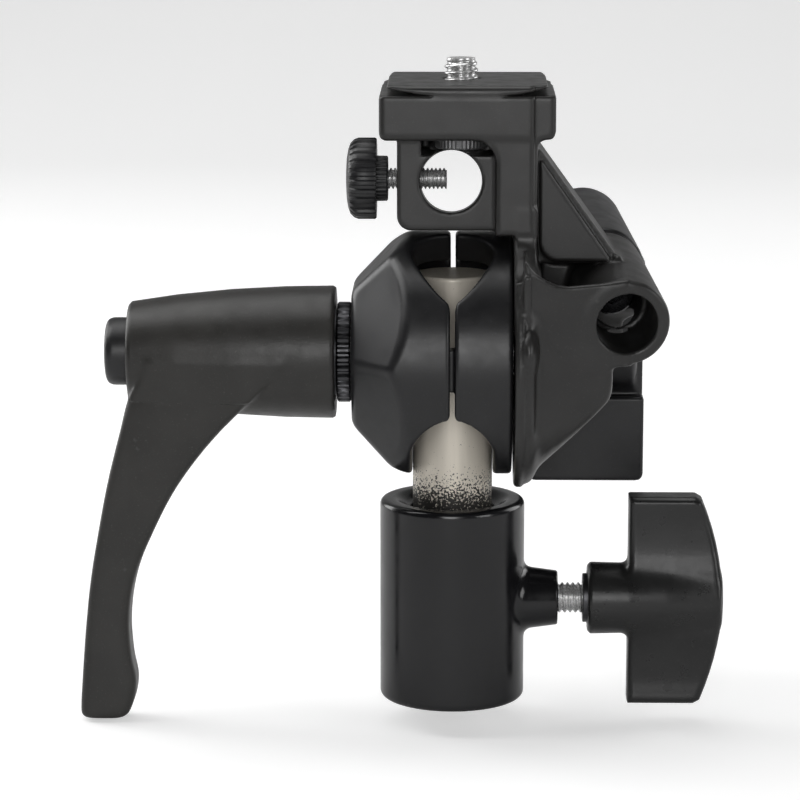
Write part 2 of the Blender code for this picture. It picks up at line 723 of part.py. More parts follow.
def bracket_frame(material, parent):
    frame = shoe_and_post()
    shoe = block("shoe", (SHOE_LEFT, SHOE_FRONT, SHOE_BOTTOM), (SHOE_RIGHT, SHOE_BACK, SHOE_TOP), 0.8)
    root_low = (FLANGE_START, SHOE_FRONT, TILT_HEIGHT)
    root = block("post_root", root_low, (POST_RIGHT, POST_BACK, 62), 0.3)
    flange = rod("flange", FLANGE_RADIUS, FLANGE_START, FLANGE_END, TILT_AXIS, 64, 0.4)
    side = rod("side", HUB_SIDE_RADIUS, FLANGE_START + 0.5, HUB_SIDE_END, TILT_AXIS, 64, 1.2)
    tube = rod("tube", TUBE_RADIUS, 0, SEAM, TUBE_AXIS, 40, 0.4)
    join(frame, shoe, umbrella_block(), root, gusset(), gusset_face())
    join(frame, flange, side, front_shell(), tube)
    cut(frame, saddle())
    umbrella_hole = rod("umbrella_hole", UMBRELLA_HOLE_RADIUS, -20, 40, UMBRELLA_AXIS, 40)
    window_low = (-5.8, BLOCK_FRONT - 0.2, WINDOW_FLOOR)
    window = block("window", window_low, (POST_LEFT - 0.4, LIGHT_SCREW_Y, SHOE_BOTTOM), 0.3)
    wheel_room = rod("wheel_room", 5.8, WHEEL_ROOM_FLOOR, SHOE_BOTTOM + 0.02, LIGHT_SCREW_AXIS, 32)
    stud_bore = rod("stud_bore", LIGHT_SCREW_RADIUS + FIT, 70, 90, LIGHT_SCREW_AXIS, 24)
    thumb_bore = rod("thumb_bore", THUMBSCREW_RADIUS + FIT, -20, -2, THUMBSCREW_AXIS, 16)
    cut(frame, umbrella_hole, window, wheel_room, stud_bore, thumb_bore)
    bolt_bore = rod("bolt_bore", BOLT_BORE_RADIUS, 5, 30, TILT_AXIS, 24)
    head_room = rod("head_room", 8.2, 14.8, 60, TILT_AXIS, 32)
    mouth = rod("mouth", TUBE_MOUTH_RADIUS, -5, MOUTH_DEPTH, TUBE_AXIS, 32)
    step = rod("step", TUBE_STEP_RADIUS, 0, HEAD_SEAT, TUBE_AXIS, 32)
    through = rod("through", HOUSING_BOLT_RADIUS + FIT, 0, SEAM + 5, TUBE_AXIS, 20)
    cut(frame, bolt_bore, head_room, mouth, step, through)
    return finish(frame, material, (0, 0, TILT_HEIGHT), parent)


# ---- Rear housing and its bolt ----


def rear_housing(material, parent):
    """Box behind the frame, stepped at mid height, under the back half of the tube."""
    low, high = Vector((15.2, 25.2, 3.8)), Vector((37.0, 42.0, 20.4))
    housing = block("rear_housing", low, high, 1.5, 2)
    upper = block("upper", Vector((15.3, 26.4, 15.0)), Vector((36.9, 41.6, 46.0)), 1.4, 2)
    tube = rod("tube", REAR_TUBE_RADIUS, SEAM + FIT, TUBE_LENGTH, TUBE_AXIS, 40, 0.6)
    neck_points = circle_points(TUBE_AXIS, REAR_TUBE_RADIUS - 0.2, SEAM + 0.6, 24)
    neck_points += circle_points(TUBE_AXIS, REAR_TUBE_RADIUS - 0.2, TUBE_LENGTH - 2, 24)
    neck_points += [Vector((x, 27.0, 22.0)) for x in (17.0, 36.0)]
    neck_points += [Vector((x, 41.0, z)) for x in (17.0, 36.0) for z in (22.0, 44.0)]
    join(housing, upper, hull("neck", neck_points), tube)
    bore = rod("bore", HOUSING_BOLT_RADIUS + FIT, 20, 80, TUBE_AXIS, 20)
    nut_room = rod("nut_room", 5.3, TUBE_LENGTH - 5.5, 80, TUBE_AXIS, 28)
    cut(housing, bore, nut_room)
    return finish(housing, material, (0, 0, TILT_HEIGHT), parent)


def housing_bolt(material, parent):
    """Long socket-head screw down the tube."""
    head_low = HEAD_SEAT - FIT - 5.0
    shank_low = head_low + 3.4
    shank = rod("shank", HOUSING_BOLT_RADIUS, shank_low, TUBE_LENGTH - 0.6, TUBE_AXIS, 20, 0.3)
    bolt = rod("housing_bolt", 4.25, head_low, HEAD_SEAT - FIT, TUBE_AXIS, 28, 0.4)
    cut(bolt, prism("hexagon", polygon(2.0, 6, 0.1), 0, head_low + 2.6, TUBE_AXIS))
    join(bolt, shank)
    return finish(bolt, material, TUBE_FRONT, parent)


def housing_nut(material, parent):
    low, high = TUBE_LENGTH - 5.2, TUBE_LENGTH - 1.2
    nut = prism("housing_nut", polygon(4.0, 6), low, high, TUBE_AXIS, 0.3)
    cut(nut, rod("bore", HOUSING_BOLT_RADIUS + 0.15, 0, 90, TUBE_AXIS, 20))
    return finish(nut, material, TUBE_BACK, parent)


# ---- Umbrella thumbscrew and light screw ----


def umbrella_screw(material, parent):
    made = rod("umbrella_screw", THUMBSCREW_RADIUS, -17, THUMBSCREW_TIP, THUMBSCREW_AXIS, 16, 0.3)
    return finish(made, material, (THUMBSCREW_TIP, 0, THUMBSCREW_HEIGHT), parent)


def umbrella_knob(material, parent):
    """Ribbed head with a domed outer face and a short collar."""
    head = prism("umbrella_knob", toothed(7.5, 0.5, 28), -18.8, -14.1, THUMBSCREW_AXIS)
    dome_profile = [
        (-19.7, 0),
        (-19.5, 4.5),
        (-18.9, 6.6),
        (-18.2, 6.9),
        (-18.2, 0),
    ]
    collar = rod("collar", 4.15, -15, -12, THUMBSCREW_AXIS, 24, 0.3)
    join(head, turned("dome", dome_profile, THUMBSCREW_AXIS, 28), collar)
    cut(head, rod("bore", THUMBSCREW_RADIUS + FIT, -17.3, -10, THUMBSCREW_AXIS, 16))
    return finish(head, material, (-14.1, 0, THUMBSCREW_HEIGHT), parent)


def light_screw(material, parent):
    """Threaded stud, 1/4 inch, that stands out of the shoe."""
    made = rod("light_screw", LIGHT_SCREW_RADIUS, 72, LIGHT_SCREW_TOP, LIGHT_SCREW_AXIS, 24, 0.5)
    return finish(made, material, (LIGHT_SCREW_X, LIGHT_SCREW_Y, SHOE_BOTTOM), parent)


def light_screw_wheel(material, parent):
    outline = toothed(WHEEL_RADIUS, 0.35, 24)
    wheel = prism("light_screw_wheel", outline, WHEEL_BOTTOM, WHEEL_TOP, LIGHT_SCREW_AXIS)
    cut(wheel, rod("bore", LIGHT_SCREW_RADIUS + FIT, 71.8, 90, LIGHT_SCREW_AXIS, 20))
    return finish(wheel, material, (LIGHT_SCREW_X, LIGHT_SCREW_Y, WHEEL_BOTTOM), parent)


# ---- The bracket ----


def build():
    for old in list(bpy.data.objects):
        bpy.data.objects.remove(old)
    casting = principled("black_casting", (0.032, 0.032, 0.034), 0.5)
    frame_black = principled("frame_black", (0.05, 0.05, 0.048), 0.52)
    lever_grey = principled("lever_grey", (0.048, 0.046, 0.044), 0.55)
    socket_black = principled("socket_black", (0.022, 0.022, 0.024), 0.3)
    knob_plastic = principled("knob_plastic", (0.025, 0.025, 0.026), 0.38)
    dark_plastic = principled("dark_plastic", (0.04, 0.04, 0.042), 0.6)
    bare_steel = principled("bare_steel", (0.62, 0.58, 0.52), 0.35, 1.0)
    zinc = principled("zinc", (0.6, 0.61, 0.62), 0.3, 1.0)
    dark_steel = principled("dark_steel", (0.08, 0.08, 0.085), 0.4, 1.0)

    socket = stand_socket(socket_black)
    pivot_stem(bare_steel, socket)
    screw_travel = empty("socket_screw_travel", (0, 0, SCREW_HEIGHT), socket)
    screw_turn = empty("socket_knob_turn", (0, 0, SCREW_HEIGHT), screw_travel)
    socket_screw(zinc, screw_travel)
    knob_ferrule(dark_steel, screw_turn)
    socket_knob(knob_plastic, screw_turn)

    tilt = empty("tilt", (0, 0, TILT_HEIGHT), socket)
    bracket_frame(frame_black, tilt)
    rear_housing(casting, tilt)
    housing_bolt(dark_steel, tilt)
    housing_nut(zinc, tilt)
    inner_jaw(casting, tilt)
    clamp_bolt(zinc, tilt)

    jaw_travel = empty("jaw_travel", (0, 0, TILT_HEIGHT), tilt)
    lever_turn = empty("lever_turn", (0, 0, TILT_HEIGHT), jaw_travel)
    lever_index = empty("lever_index", (0, 0, TILT_HEIGHT), lever_turn)
    outer_jaw(casting, jaw_travel)
    thrust_washer(zinc, jaw_travel)
    ratchet_insert(dark_steel, lever_turn)
    lever_screw(zinc, lever_turn)
    lever_spring(zinc, lever_turn)
    lever_handle(lever_grey, lever_index)
    lever_button(dark_plastic, lever_index)

    thumb_travel = empty("umbrella_screw_travel", (THUMBSCREW_TIP, 0, THUMBSCREW_HEIGHT), tilt)
    umbrella_screw(zinc, thumb_travel)
    umbrella_knob(dark_plastic, thumb_travel)
    light_travel = empty("light_screw_travel", (LIGHT_SCREW_X, LIGHT_SCREW_Y, SHOE_BOTTOM), tilt)
    light_screw(zinc, light_travel)
    light_screw_wheel(dark_steel, light_travel)


build()
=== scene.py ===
"""Looks of the umbrella swivel bracket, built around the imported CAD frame.

Cast and moulded pieces are distance fields, in millimetres, turned into meshes by surface nets:
their unions have real fillets and their edges are rounded. Turned and threaded pieces are
swept profiles. Every piece replaces its CAD node, in the same place, and rides on its body.
"""

import json
import math

import bmesh
import bpy
import numpy as np
from mathutils import Matrix, Vector


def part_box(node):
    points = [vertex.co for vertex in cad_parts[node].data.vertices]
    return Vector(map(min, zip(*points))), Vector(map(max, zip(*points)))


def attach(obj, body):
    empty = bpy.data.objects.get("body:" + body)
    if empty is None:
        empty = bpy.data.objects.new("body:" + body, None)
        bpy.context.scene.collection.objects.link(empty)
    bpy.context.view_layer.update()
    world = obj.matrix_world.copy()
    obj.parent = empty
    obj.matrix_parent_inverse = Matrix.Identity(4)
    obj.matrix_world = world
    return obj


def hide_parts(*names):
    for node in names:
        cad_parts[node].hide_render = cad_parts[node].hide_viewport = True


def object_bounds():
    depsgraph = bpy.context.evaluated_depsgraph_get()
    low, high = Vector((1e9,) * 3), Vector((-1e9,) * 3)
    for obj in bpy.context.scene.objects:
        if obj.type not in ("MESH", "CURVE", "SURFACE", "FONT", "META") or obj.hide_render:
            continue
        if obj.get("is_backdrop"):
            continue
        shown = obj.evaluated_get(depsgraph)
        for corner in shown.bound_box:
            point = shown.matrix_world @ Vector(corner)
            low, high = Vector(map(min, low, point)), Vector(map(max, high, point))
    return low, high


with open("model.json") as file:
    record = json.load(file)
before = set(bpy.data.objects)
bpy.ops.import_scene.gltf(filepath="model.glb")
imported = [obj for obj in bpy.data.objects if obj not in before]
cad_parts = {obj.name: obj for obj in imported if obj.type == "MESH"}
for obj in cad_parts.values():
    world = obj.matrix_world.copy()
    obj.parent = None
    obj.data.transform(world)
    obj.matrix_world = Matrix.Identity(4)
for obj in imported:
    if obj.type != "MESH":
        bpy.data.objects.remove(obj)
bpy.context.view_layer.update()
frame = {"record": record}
MM = 0.001


def box_mm(node):
    """A CAD node's lowest and highest corners, in millimetres."""
    low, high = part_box(node)
    return np.array(low) / MM, np.array(high) / MM


JOINTS = {joint["name"]: joint for joint in frame["record"]["behaviour"]["joints"]}
TILT_Z = JOINTS["tilt"]["pos_m"][2] / MM
SOCKET_SCREW_Z = JOINTS["socket_knob_turn"]["pos_m"][2] / MM
THUMB_Z = JOINTS["umbrella_knob_turn"]["pos_m"][2] / MM
WHEEL_X, WHEEL_Y = (value / MM for value in JOINTS["light_wheel_turn"]["pos_m"][:2])

# ---- Distance fields ----


def length(*parts):
    return np.sqrt(sum(part * part for part in parts))


def blend_in(a, b, size):
    """Union with a fillet about `size` wide."""
    if size <= 0:
        return np.minimum(a, b)
    gap = np.maximum(size - np.abs(a - b), 0) / size
    return np.minimum(a, b) - gap * gap * size / 4


def common(a, b, size=0.0):
    """Intersection with edges rounded over `size`."""
    return -blend_in(-a, -b, size)


def without(a, b, size=0.0):
    """Difference with edges rounded over `size`."""
    return common(a, -b, size)


def slab(distance, low, high):
    return np.maximum(low - distance, distance - high)


def joined(a, b, edge):
    """Right-angled meeting of two distances, with its outer edge rounded to radius `edge`."""
    u, v = a + edge, b + edge
    return length(np.maximum(u, 0), np.maximum(v, 0)) + np.minimum(np.maximum(u, v), 0) - edge


def box(p, low, high, edge):
    parts = [slab(p[i], low[i], high[i]) + edge for i in range(3)]
    outside = length(*[np.maximum(part, 0) for part in parts])
    return outside + np.minimum(np.maximum.reduce(parts), 0) - edge


def outline_field(u, v, points):
    """Signed distance to a closed outline."""
    nearest = np.full(u.shape, np.inf, np.float32)
    inside = np.zeros(u.shape, bool)
    for (u0, v0), (u1, v1) in zip(points, points[1:] + points[:1]):
        du, dv = u1 - u0, v1 - v0
        share = np.clip(((u - u0) * du + (v - v0) * dv) / (du * du + dv * dv), 0, 1)
        away = (u - u0 - share * du) ** 2 + (v - v0 - share * dv) ** 2
        nearest = np.minimum(nearest, away)
        if dv:
            crosses = (v0 > v) != (v1 > v)
            inside ^= crosses & (u < u0 + (v - v0) * du / dv)
    distance = np.sqrt(nearest)
    return np.where(inside, -distance, distance)


def around(p, axis_point, direction):
    """Distance along an axis, and distance from it."""
    d = np.array(direction, float)
    d = d / np.linalg.norm(d)
    offset = [p[i] - axis_point[i] for i in range(3)]
    along = sum(offset[i] * d[i] for i in range(3))
    square = sum(part * part for part in offset) - along * along
    return along, np.sqrt(np.maximum(square, 0))


def rod(p, axis_point, direction, radius, low, high, edge):
    along, away = around(p, axis_point, direction)
    return joined(away - radius, slab(along, low, high), edge)


def lathe(p, axis_point, direction, profile):
    """Turned solid; the profile's points are (along, radius), and it starts and ends on the axis."""
    along, away = around(p, axis_point, direction)
    past_axis = -9.0
    closed = [(profile[0][0], past_axis)] + profile + [(profile[-1][0], past_axis)]
    return outline_field(along, away, closed)


def plate(p, outline, front, back, edge):
    """A front-view outline of (x, z) points between two depths."""
    return joined(outline_field(p[0], p[2], outline), slab(p[1], front, back), edge)


def half_space(p, point, normal):
    n = np.array(normal, float)
    n = n / np.linalg.norm(n)
    return sum((p[i] - point[i]) * n[i] for i in range(3))


def smooth_table(value, places, amounts):
    """Cubic interpolation through a few points (Catmull-Rom)."""
    places, amounts = np.array(places), np.array(amounts)
    slopes = np.gradient(amounts, places)
    i = np.clip(np.searchsorted(places, value) - 1, 0, len(places) - 2)
    width = places[i + 1] - places[i]
    t = np.clip((value - places[i]) / width, 0, 1)
    a, b = amounts[i], amounts[i + 1]
    return (a * (1 + 2 * t) * (1 - t) ** 2 + b * t * t * (3 - 2 * t)
            + width * (slopes[i] * t * (1 - t) ** 2 + slopes[i + 1] * t * t * (t - 1)))


def arc(centre_u, centre_v, radius, start, end, steps=8):
    """Points on an arc, angles in degrees."""
    angles = [math.radians(start + (end - start) * i / steps) for i in range(steps + 1)]
    return [(centre_u + radius * math.cos(a), centre_v + radius * math.sin(a)) for a in angles]


# ---- Surface nets: a mesh from a distance field ----

SPARE = 1.2
SPARE_CELLS = 2.3
CORNERS = np.array([(i, j, k) for i in (0, 1) for j in (0, 1) for k in (0, 1)])
EDGES = [(a, b) for a in range(8) for b in range(a + 1, 8) if np.abs(CORNERS[a] - CORNERS[b]).sum() == 1]


def surface(name, field, node, cell):
    """A closed mesh of the field's zero surface in a CAD node's place, drawn onto that surface."""
    low, high = box_mm(node)
    low = low - SPARE - SPARE_CELLS * cell
    high = high + SPARE + SPARE_CELLS * cell
    axes = [np.arange(low[i], high[i], cell) for i in range(3)]
    values = field(np.meshgrid(*axes, indexing="ij"))
    inside = values < 0
    views = [inside[c[0]:inside.shape[0] - 1 + c[0], c[1]:inside.shape[1] - 1 + c[1],
                    c[2]:inside.shape[2] - 1 + c[2]] for c in CORNERS]
    count = sum(view.astype(np.int8) for view in views)
    cells = np.argwhere((count > 0) & (count < 8))
    number = np.full(count.shape, -1, np.int64)
    number[tuple(cells.T)] = np.arange(len(cells))
    at_corner = np.stack([values[tuple((cells + c).T)] for c in CORNERS], axis=1)
    total = np.zeros((len(cells), 3))
    hits = np.zeros(len(cells))
    for a, b in EDGES:
        va, vb = at_corner[:, a], at_corner[:, b]
        cut = (va < 0) != (vb < 0)
        share = np.where(cut, va / np.where(cut, va - vb, 1), 0)
        point = CORNERS[a] + share[:, None] * (CORNERS[b] - CORNERS[a])
        total[cut] += point[cut]
        hits += cut
    points = low + (cells + total / hits[:, None]) * cell
    points = drawn_onto(field, points, cell)
    quads = []
    for axis in range(3):
        first, second = [i for i in range(3) if i != axis]
        here = np.take(inside, range(inside.shape[axis] - 1), axis)
        there = np.take(inside, range(1, inside.shape[axis]), axis)
        crossing = np.argwhere(here != there)
        keep = np.all(crossing[:, [first, second]] > 0, axis=1)
        crossing = crossing[keep]
        around_edge = []
        for df, ds in ((-1, -1), (0, -1), (0, 0), (-1, 0)):
            place = crossing.copy()
            place[:, first] += df
            place[:, second] += ds
            around_edge.append(number[tuple(place.T)])
        quad = np.stack(around_edge, axis=1)
        flip = here[tuple(crossing.T)] ^ (axis == 1)
        quad[~flip] = quad[~flip][:, ::-1]
        quads.append(quad)
    return mesh_object(name, points * MM, np.concatenate(quads))


def gradient(field, points, step):
    parts = []
    for axis in range(3):
        shift = np.zeros(3)
        shift[axis] = step
        ahead, behind = (points + shift).T, (points - shift).T
        parts.append((field(list(ahead)) - field(list(behind))) / (2 * step))
    return np.stack(parts, axis=1)


def drawn_onto(field, points, cell, steps=3):
    """Newton steps towards the surface, each no longer than half a cell."""
    flattest = 0.05
    for _ in range(steps):
        slope = gradient(field, points, cell * 0.1)
        square = np.maximum((slope**2).sum(axis=1), flattest)
        move = -slope * (field(list(points.T)) / square)[:, None]
        far = np.maximum(np.linalg.norm(move, axis=1) / (0.5 * cell), 1)
        points = points + move / far[:, None]
    return points


def mesh_object(name, points, faces):
    mesh = bpy.data.meshes.new(name)
    mesh.from_pydata(np.asarray(points).tolist(), [], np.asarray(faces).tolist())
    mesh.validate()
    mesh.shade_smooth()
    made = bpy.data.objects.new(name, mesh)
    bpy.context.scene.collection.objects.link(made)
    return made


# ---- Swept and turned meshes ----

ALONG_X = Matrix(((0, 0, 1, 0), (1, 0, 0, 0), (0, 1, 0, 0), (0, 0, 0, 1)))


def axis_x(height):
    return Matrix.Translation((0, 0, height)) @ ALONG_X


def axis_line(start, end):
    start, end = Vector(start), Vector(end)
    return Matrix.Translation(start) @ (end - start).to_track_quat("Z", "Y").to_matrix().to_4x4()


def skin(name, rows, ring=False, sharp=None):
    """Mesh through rows of points in millimetres: all rows have equal counts, or one point at a tip."""
    points, starts = [], []
    for row in rows:
        starts.append(len(points))
        points += [Vector(point) * MM for point in row]
    pairs = list(zip(range(len(rows)), range(1, len(rows))))
    if ring:
        pairs.append((len(rows) - 1, 0))
    faces = []
    for near, far in pairs:
        count = max(len(rows[near]), len(rows[far]))
        for i in range(count):
            j = (i + 1) % count
            corners = [starts[near] + i % len(rows[near]), starts[near] + j % len(rows[near])]
            corners += [starts[far] + j % len(rows[far]), starts[far] + i % len(rows[far])]
            faces.append(list(dict.fromkeys(corners)))
    bm = bmesh.new()
    verts = [bm.verts.new(point) for point in points]
    for face in faces:
        bm.faces.new([verts[index] for index in face])
    bmesh.ops.recalc_face_normals(bm, faces=bm.faces)
    mesh = bpy.data.meshes.new(name)
    bm.to_mesh(mesh)
    bm.free()
    mesh.shade_smooth()
    if sharp:
        mesh.set_sharp_from_angle(angle=math.radians(sharp))
    made = bpy.data.objects.new(name, mesh)
    bpy.context.scene.collection.objects.link(made)
    return made


def lathe_rows(stations, place, count, shape=None):
    """Rows of a turned piece. `shape` gives a radius factor from the angle and the station."""
    rows = []
    for along, radius in stations:
        if radius == 0:
            rows.append([place @ Vector((0, 0, along))])
            continue
        row = []
        for i in range(count):
            angle = math.tau * i / count
            r = radius * (shape(angle, along) if shape else 1)
            row.append(place @ Vector((r * math.cos(angle), r * math.sin(angle), along)))
        rows.append(row)
    return rows


def rounded_stations(stations, radius, steps=3):
    """Rounds the corners of a turned profile that doesn't touch itself."""
    out = []
    for i, (along, away) in enumerate(stations):
        if i in (0, len(stations) - 1):
            out.append((along, away))
            continue
        here = Vector((along, away))
        before, after = Vector(stations[i - 1]) - here, Vector(stations[i + 1]) - here
        reach = min(radius, before.length * 0.45, after.length * 0.45)
        start, end = here + before.normalized() * reach, here + after.normalized() * reach
        for k in range(steps + 1):
            t = k / steps
            out.append(tuple(start * (1 - t) ** 2 + here * 2 * t * (1 - t) + end * t * t))
    return out


def turned(name, stations, place, count, edge=0.25):
    return skin(name, lathe_rows(rounded_stations(stations, edge), place, count), sharp=50)


def turned_ring(name, low, high, bore, radius, place, count):
    """A washer or ring; its first inner corner stays sharp."""
    loop = [(low, bore), (low, radius), (high, radius), (high, bore), (low, bore)]
    rows = lathe_rows(rounded_stations(loop, 0.2)[:-1], place, count)
    return skin(name, rows, ring=True, sharp=50)


def thread(name, place, radius, pitch, low, high, depth, head=None, count=40):
    """A screw with a real helical thread; `head` adds stations past its high end."""
    chamfer = 0.05
    per_turn = 10
    root = radius - depth
    steps = max(4, round((high - low) / pitch * per_turn))
    rows = lathe_rows([(low, 0), (low, root * 0.8)], place, count)
    for k in range(steps + 1):
        along = low + chamfer + (high - low - chamfer) * k / steps
        row = []
        for i in range(count):
            angle = math.tau * i / count
            phase = (along / pitch - angle / math.tau) % 1
            crest = max(0.0, min(1.0, 1.35 - 3.4 * abs(phase - 0.5)))
            lead = min(1.0, (along - low) / (1.2 * pitch))
            r = root + depth * crest * lead
            row.append(place @ Vector((r * math.cos(angle), r * math.sin(angle), along)))
        rows.append(row)
    end = high + 0.02
    rows += lathe_rows(head or [(end, root), (end, 0)], place, count)
    return skin(name, rows, sharp=60)


def coil(name, place, wire, mean, low, high, turns, count=10, per_turn=28):
    rows = []
    steps = int(turns * per_turn)
    for i in range(steps + 1):
        share = i / steps
        angle = math.tau * turns * share
        outward = Vector((math.cos(angle), math.sin(angle), 0))
        centre = outward * mean + Vector((0, 0, low + (high - low) * share))
        row = []
        for k in range(count):
            turn = math.tau * k / count
            row.append(place @ (centre + wire * (outward * math.cos(turn) + Vector((0, 0, math.sin(turn))))))
        rows.append(row)
    rows = [[sum(rows[0], Vector()) / count]] + rows + [[sum(rows[-1], Vector()) / count]]
    return skin(name, rows)


def hexagon(edge):
    """Radius factor of a six-sided head, its corners cut back by the share `edge`."""
    def factor(angle, along):
        local = (angle + math.pi / 6) % (math.pi / 3) - math.pi / 6
        return min(1 / math.cos(local), (1 - edge) / math.cos(math.pi / 6))
    return factor


# ---- Materials ----


def nodes_of(name):
    made = bpy.data.materials.new(name)
    made.use_nodes = True
    tree = made.node_tree
    return made, tree, tree.nodes["Principled BSDF"]


def noise(tree, scale, detail=4.0, rough=0.55, stretch=None):
    """Noise in the piece's own coordinates; scale is in cycles per metre."""
    coordinates = tree.nodes.new("ShaderNodeTexCoord").outputs["Object"]
    if stretch:
        mapping = tree.nodes.new("ShaderNodeMapping")
        mapping.inputs["Scale"].default_value = stretch
        tree.links.new(coordinates, mapping.inputs["Vector"])
        coordinates = mapping.outputs["Vector"]
    texture = tree.nodes.new("ShaderNodeTexNoise")
    texture.inputs["Scale"].default_value = scale
    texture.inputs["Detail"].default_value = detail
    texture.inputs["Roughness"].default_value = rough
    tree.links.new(coordinates, texture.inputs["Vector"])
    return texture.outputs["Fac"]


def ramp(tree, value, stops):
    made = tree.nodes.new("ShaderNodeValToRGB")
    elements = made.color_ramp.elements
    while len(elements) < len(stops):
        elements.new(0.5)
    for element, (place, colour) in zip(elements, stops):
        element.position = place
        element.color = (*colour, 1)
    tree.links.new(value, made.inputs["Fac"])
    return made.outputs["Color"]


def span(tree, value, low, high, to_low, to_high):
    made = tree.nodes.new("ShaderNodeMapRange")
    made.clamp = True
    for key, number in zip(("From Min", "From Max", "To Min", "To Max"), (low, high, to_low, to_high)):
        made.inputs[key].default_value = number
    tree.links.new(value, made.inputs["Value"])
    return made.outputs["Result"]


def mix(tree, share, a, b):
    made = tree.nodes.new("ShaderNodeMix")
    made.data_type = "RGBA"
    tree.links.new(share, made.inputs["Factor"])
    for socket, value in ((made.inputs["A"], a), (made.inputs["B"], b)):
        if isinstance(value, tuple):
            socket.default_value = (*value, 1)
        else:
            tree.links.new(value, socket)
    return made.outputs["Result"]


def add_bump(tree, shader, height, strength, distance):
    made = tree.nodes.new("ShaderNodeBump")
    made.inputs["Strength"].default_value = strength
    made.inputs["Distance"].default_value = distance
    tree.links.new(height, made.inputs["Height"])
    before = shader.inputs["Normal"]
    if before.is_linked:
        tree.links.new(before.links[0].from_socket, made.inputs["Normal"])
    tree.links.new(made.outputs["Normal"], before)


def edge_wear_and_highlight(tree, low, high):
    """Grows from 0 to 1 on convex edges; it places the lighter edge colour, partly wear and partly a painted
    highlight.
    """
    pointiness = tree.nodes.new("ShaderNodeNewGeometry").outputs["Pointiness"]
    return span(tree, pointiness, low, high, 0, 1)


def scaled(colour, factor):
    return tuple(min(1, part * factor) for part in colour)


def coating(name, colour, roughness, grain, depth, strength, worn_and_lit_edge=None):
    """Powder coat or grained plastic: pebbled grain, faint mottling, sparse specks, and lighter convex edges
    that are partly wear, partly a painted highlight.

    `grain` is in cycles per metre and `depth` is the grain's height in metres.
    """
    made, tree, shader = nodes_of(name)
    mottle = noise(tree, scale=90, detail=3)
    speck = noise(tree, scale=grain * 1.7, detail=2)
    tone = ramp(tree, mottle, [(0.32, scaled(colour, 0.82)), (0.68, scaled(colour, 1.22))])
    spark = ramp(tree, speck, [(0.62, (0, 0, 0)), (0.78, (1, 1, 1))])
    tone = mix(tree, spark, tone, scaled(colour, 2.1))
    if worn_and_lit_edge:
        # Convex edges take a lighter colour: part edge wear, part painted highlight along the edges.
        tone = mix(tree, edge_wear_and_highlight(tree, 0.56, 0.66), tone, worn_and_lit_edge)
    tree.links.new(tone, shader.inputs["Base Color"])
    patches = noise(tree, scale=260, detail=4)
    rough = span(tree, patches, 0.3, 0.7, roughness - 0.05, roughness + 0.07)
    tree.links.new(rough, shader.inputs["Roughness"])
    add_bump(tree, shader, noise(tree, scale=grain, detail=3, rough=0.6), strength, depth)
    add_bump(tree, shader, noise(tree, scale=60, detail=2), strength=0.12, distance=0.0002)
    return made


def plated(name, colour, roughness, metal, streak=None):
    """Bright plated or bare metal with fine machining marks."""
    made, tree, shader = nodes_of(name)
    shader.inputs["Metallic"].default_value = metal
    mottle = noise(tree, scale=240, detail=4, stretch=streak)
    tone = ramp(tree, mottle, [(0.3, scaled(colour, 0.86)), (0.7, scaled(colour, 1.08))])
    tree.links.new(tone, shader.inputs["Base Color"])
    fine = noise(tree, scale=1400, detail=3, stretch=streak)
    rough = span(tree, fine, 0.3, 0.7, roughness - 0.06, roughness + 0.1)
    tree.links.new(rough, shader.inputs["Roughness"])
    add_bump(tree, shader, fine, strength=0.15, distance=0.00003)
    return made


def stem_steel(name):
    """Bare turned steel with vertical streaks; black overspray thickens towards the foot."""
    foot, clear = 0.0052, 0.0140
    black = (0.03, 0.028, 0.026)
    made = plated(name, (0.80, 0.74, 0.64), 0.42, 0.2, streak=(1, 1, 0.06))
    tree = made.node_tree
    shader = tree.nodes["Principled BSDF"]
    coordinates = tree.nodes.new("ShaderNodeTexCoord").outputs["Object"]
    split = tree.nodes.new("ShaderNodeSeparateXYZ")
    tree.links.new(coordinates, split.inputs[0])
    share = span(tree, split.outputs["Z"], foot, clear, 0.66, 0.27)
    compare = tree.nodes.new("ShaderNodeMath")
    compare.operation = "LESS_THAN"
    tree.links.new(noise(tree, scale=2600, detail=2, rough=0.6), compare.inputs[0])
    tree.links.new(share, compare.inputs[1])
    bare = shader.inputs["Base Color"].links[0].from_socket
    tree.links.new(mix(tree, compare.outputs[0], bare, black), shader.inputs["Base Color"])
    return made


# ---- Shared places, in millimetres ----

CENTRE = (0, 0, TILT_Z)
X_AXIS, Y_AXIS, Z_AXIS = (1, 0, 0), (0, 1, 0), (0, 0, 1)
STUD_BORE = 8.1
SCREW_HOLE = 3.15
DRUM_RADIUS = 22.5
DRUM_START = -18.6
STEM_RADIUS = 7.4
SLOT_RADIUS = 7.46
POCKET_HALF = 7.5
POCKET_RADIUS = 17.2
BOLT_BORE = 4.35
JAW_GAP = 0.45
TOP_SLOT = (math.radians(26.5), math.radians(26.5))
TOP_SLOT_POINT = 11.4
BOTTOM_SLOT = (math.radians(-34), math.radians(42))
BOTTOM_SLOT_POINT = 8.9
TUBE_FRONT = np.array((31.3, -20.0, 42.3))
TUBE_BACK = np.array((25.0, 45.0, 51.0))
TUBE_LINE = TUBE_BACK - TUBE_FRONT
TUBE_LENGTH = float(np.linalg.norm(TUBE_LINE))
SEAM = 34.0
HEAD_SEAT = 25.0
LONG_BOLT_BORE = 2.8
HOLE_FRONT = (-0.4, -9.4, 66.6)
HOLE_LINE = (0, 1, -0.115)


# ---- Stand socket and stem ----


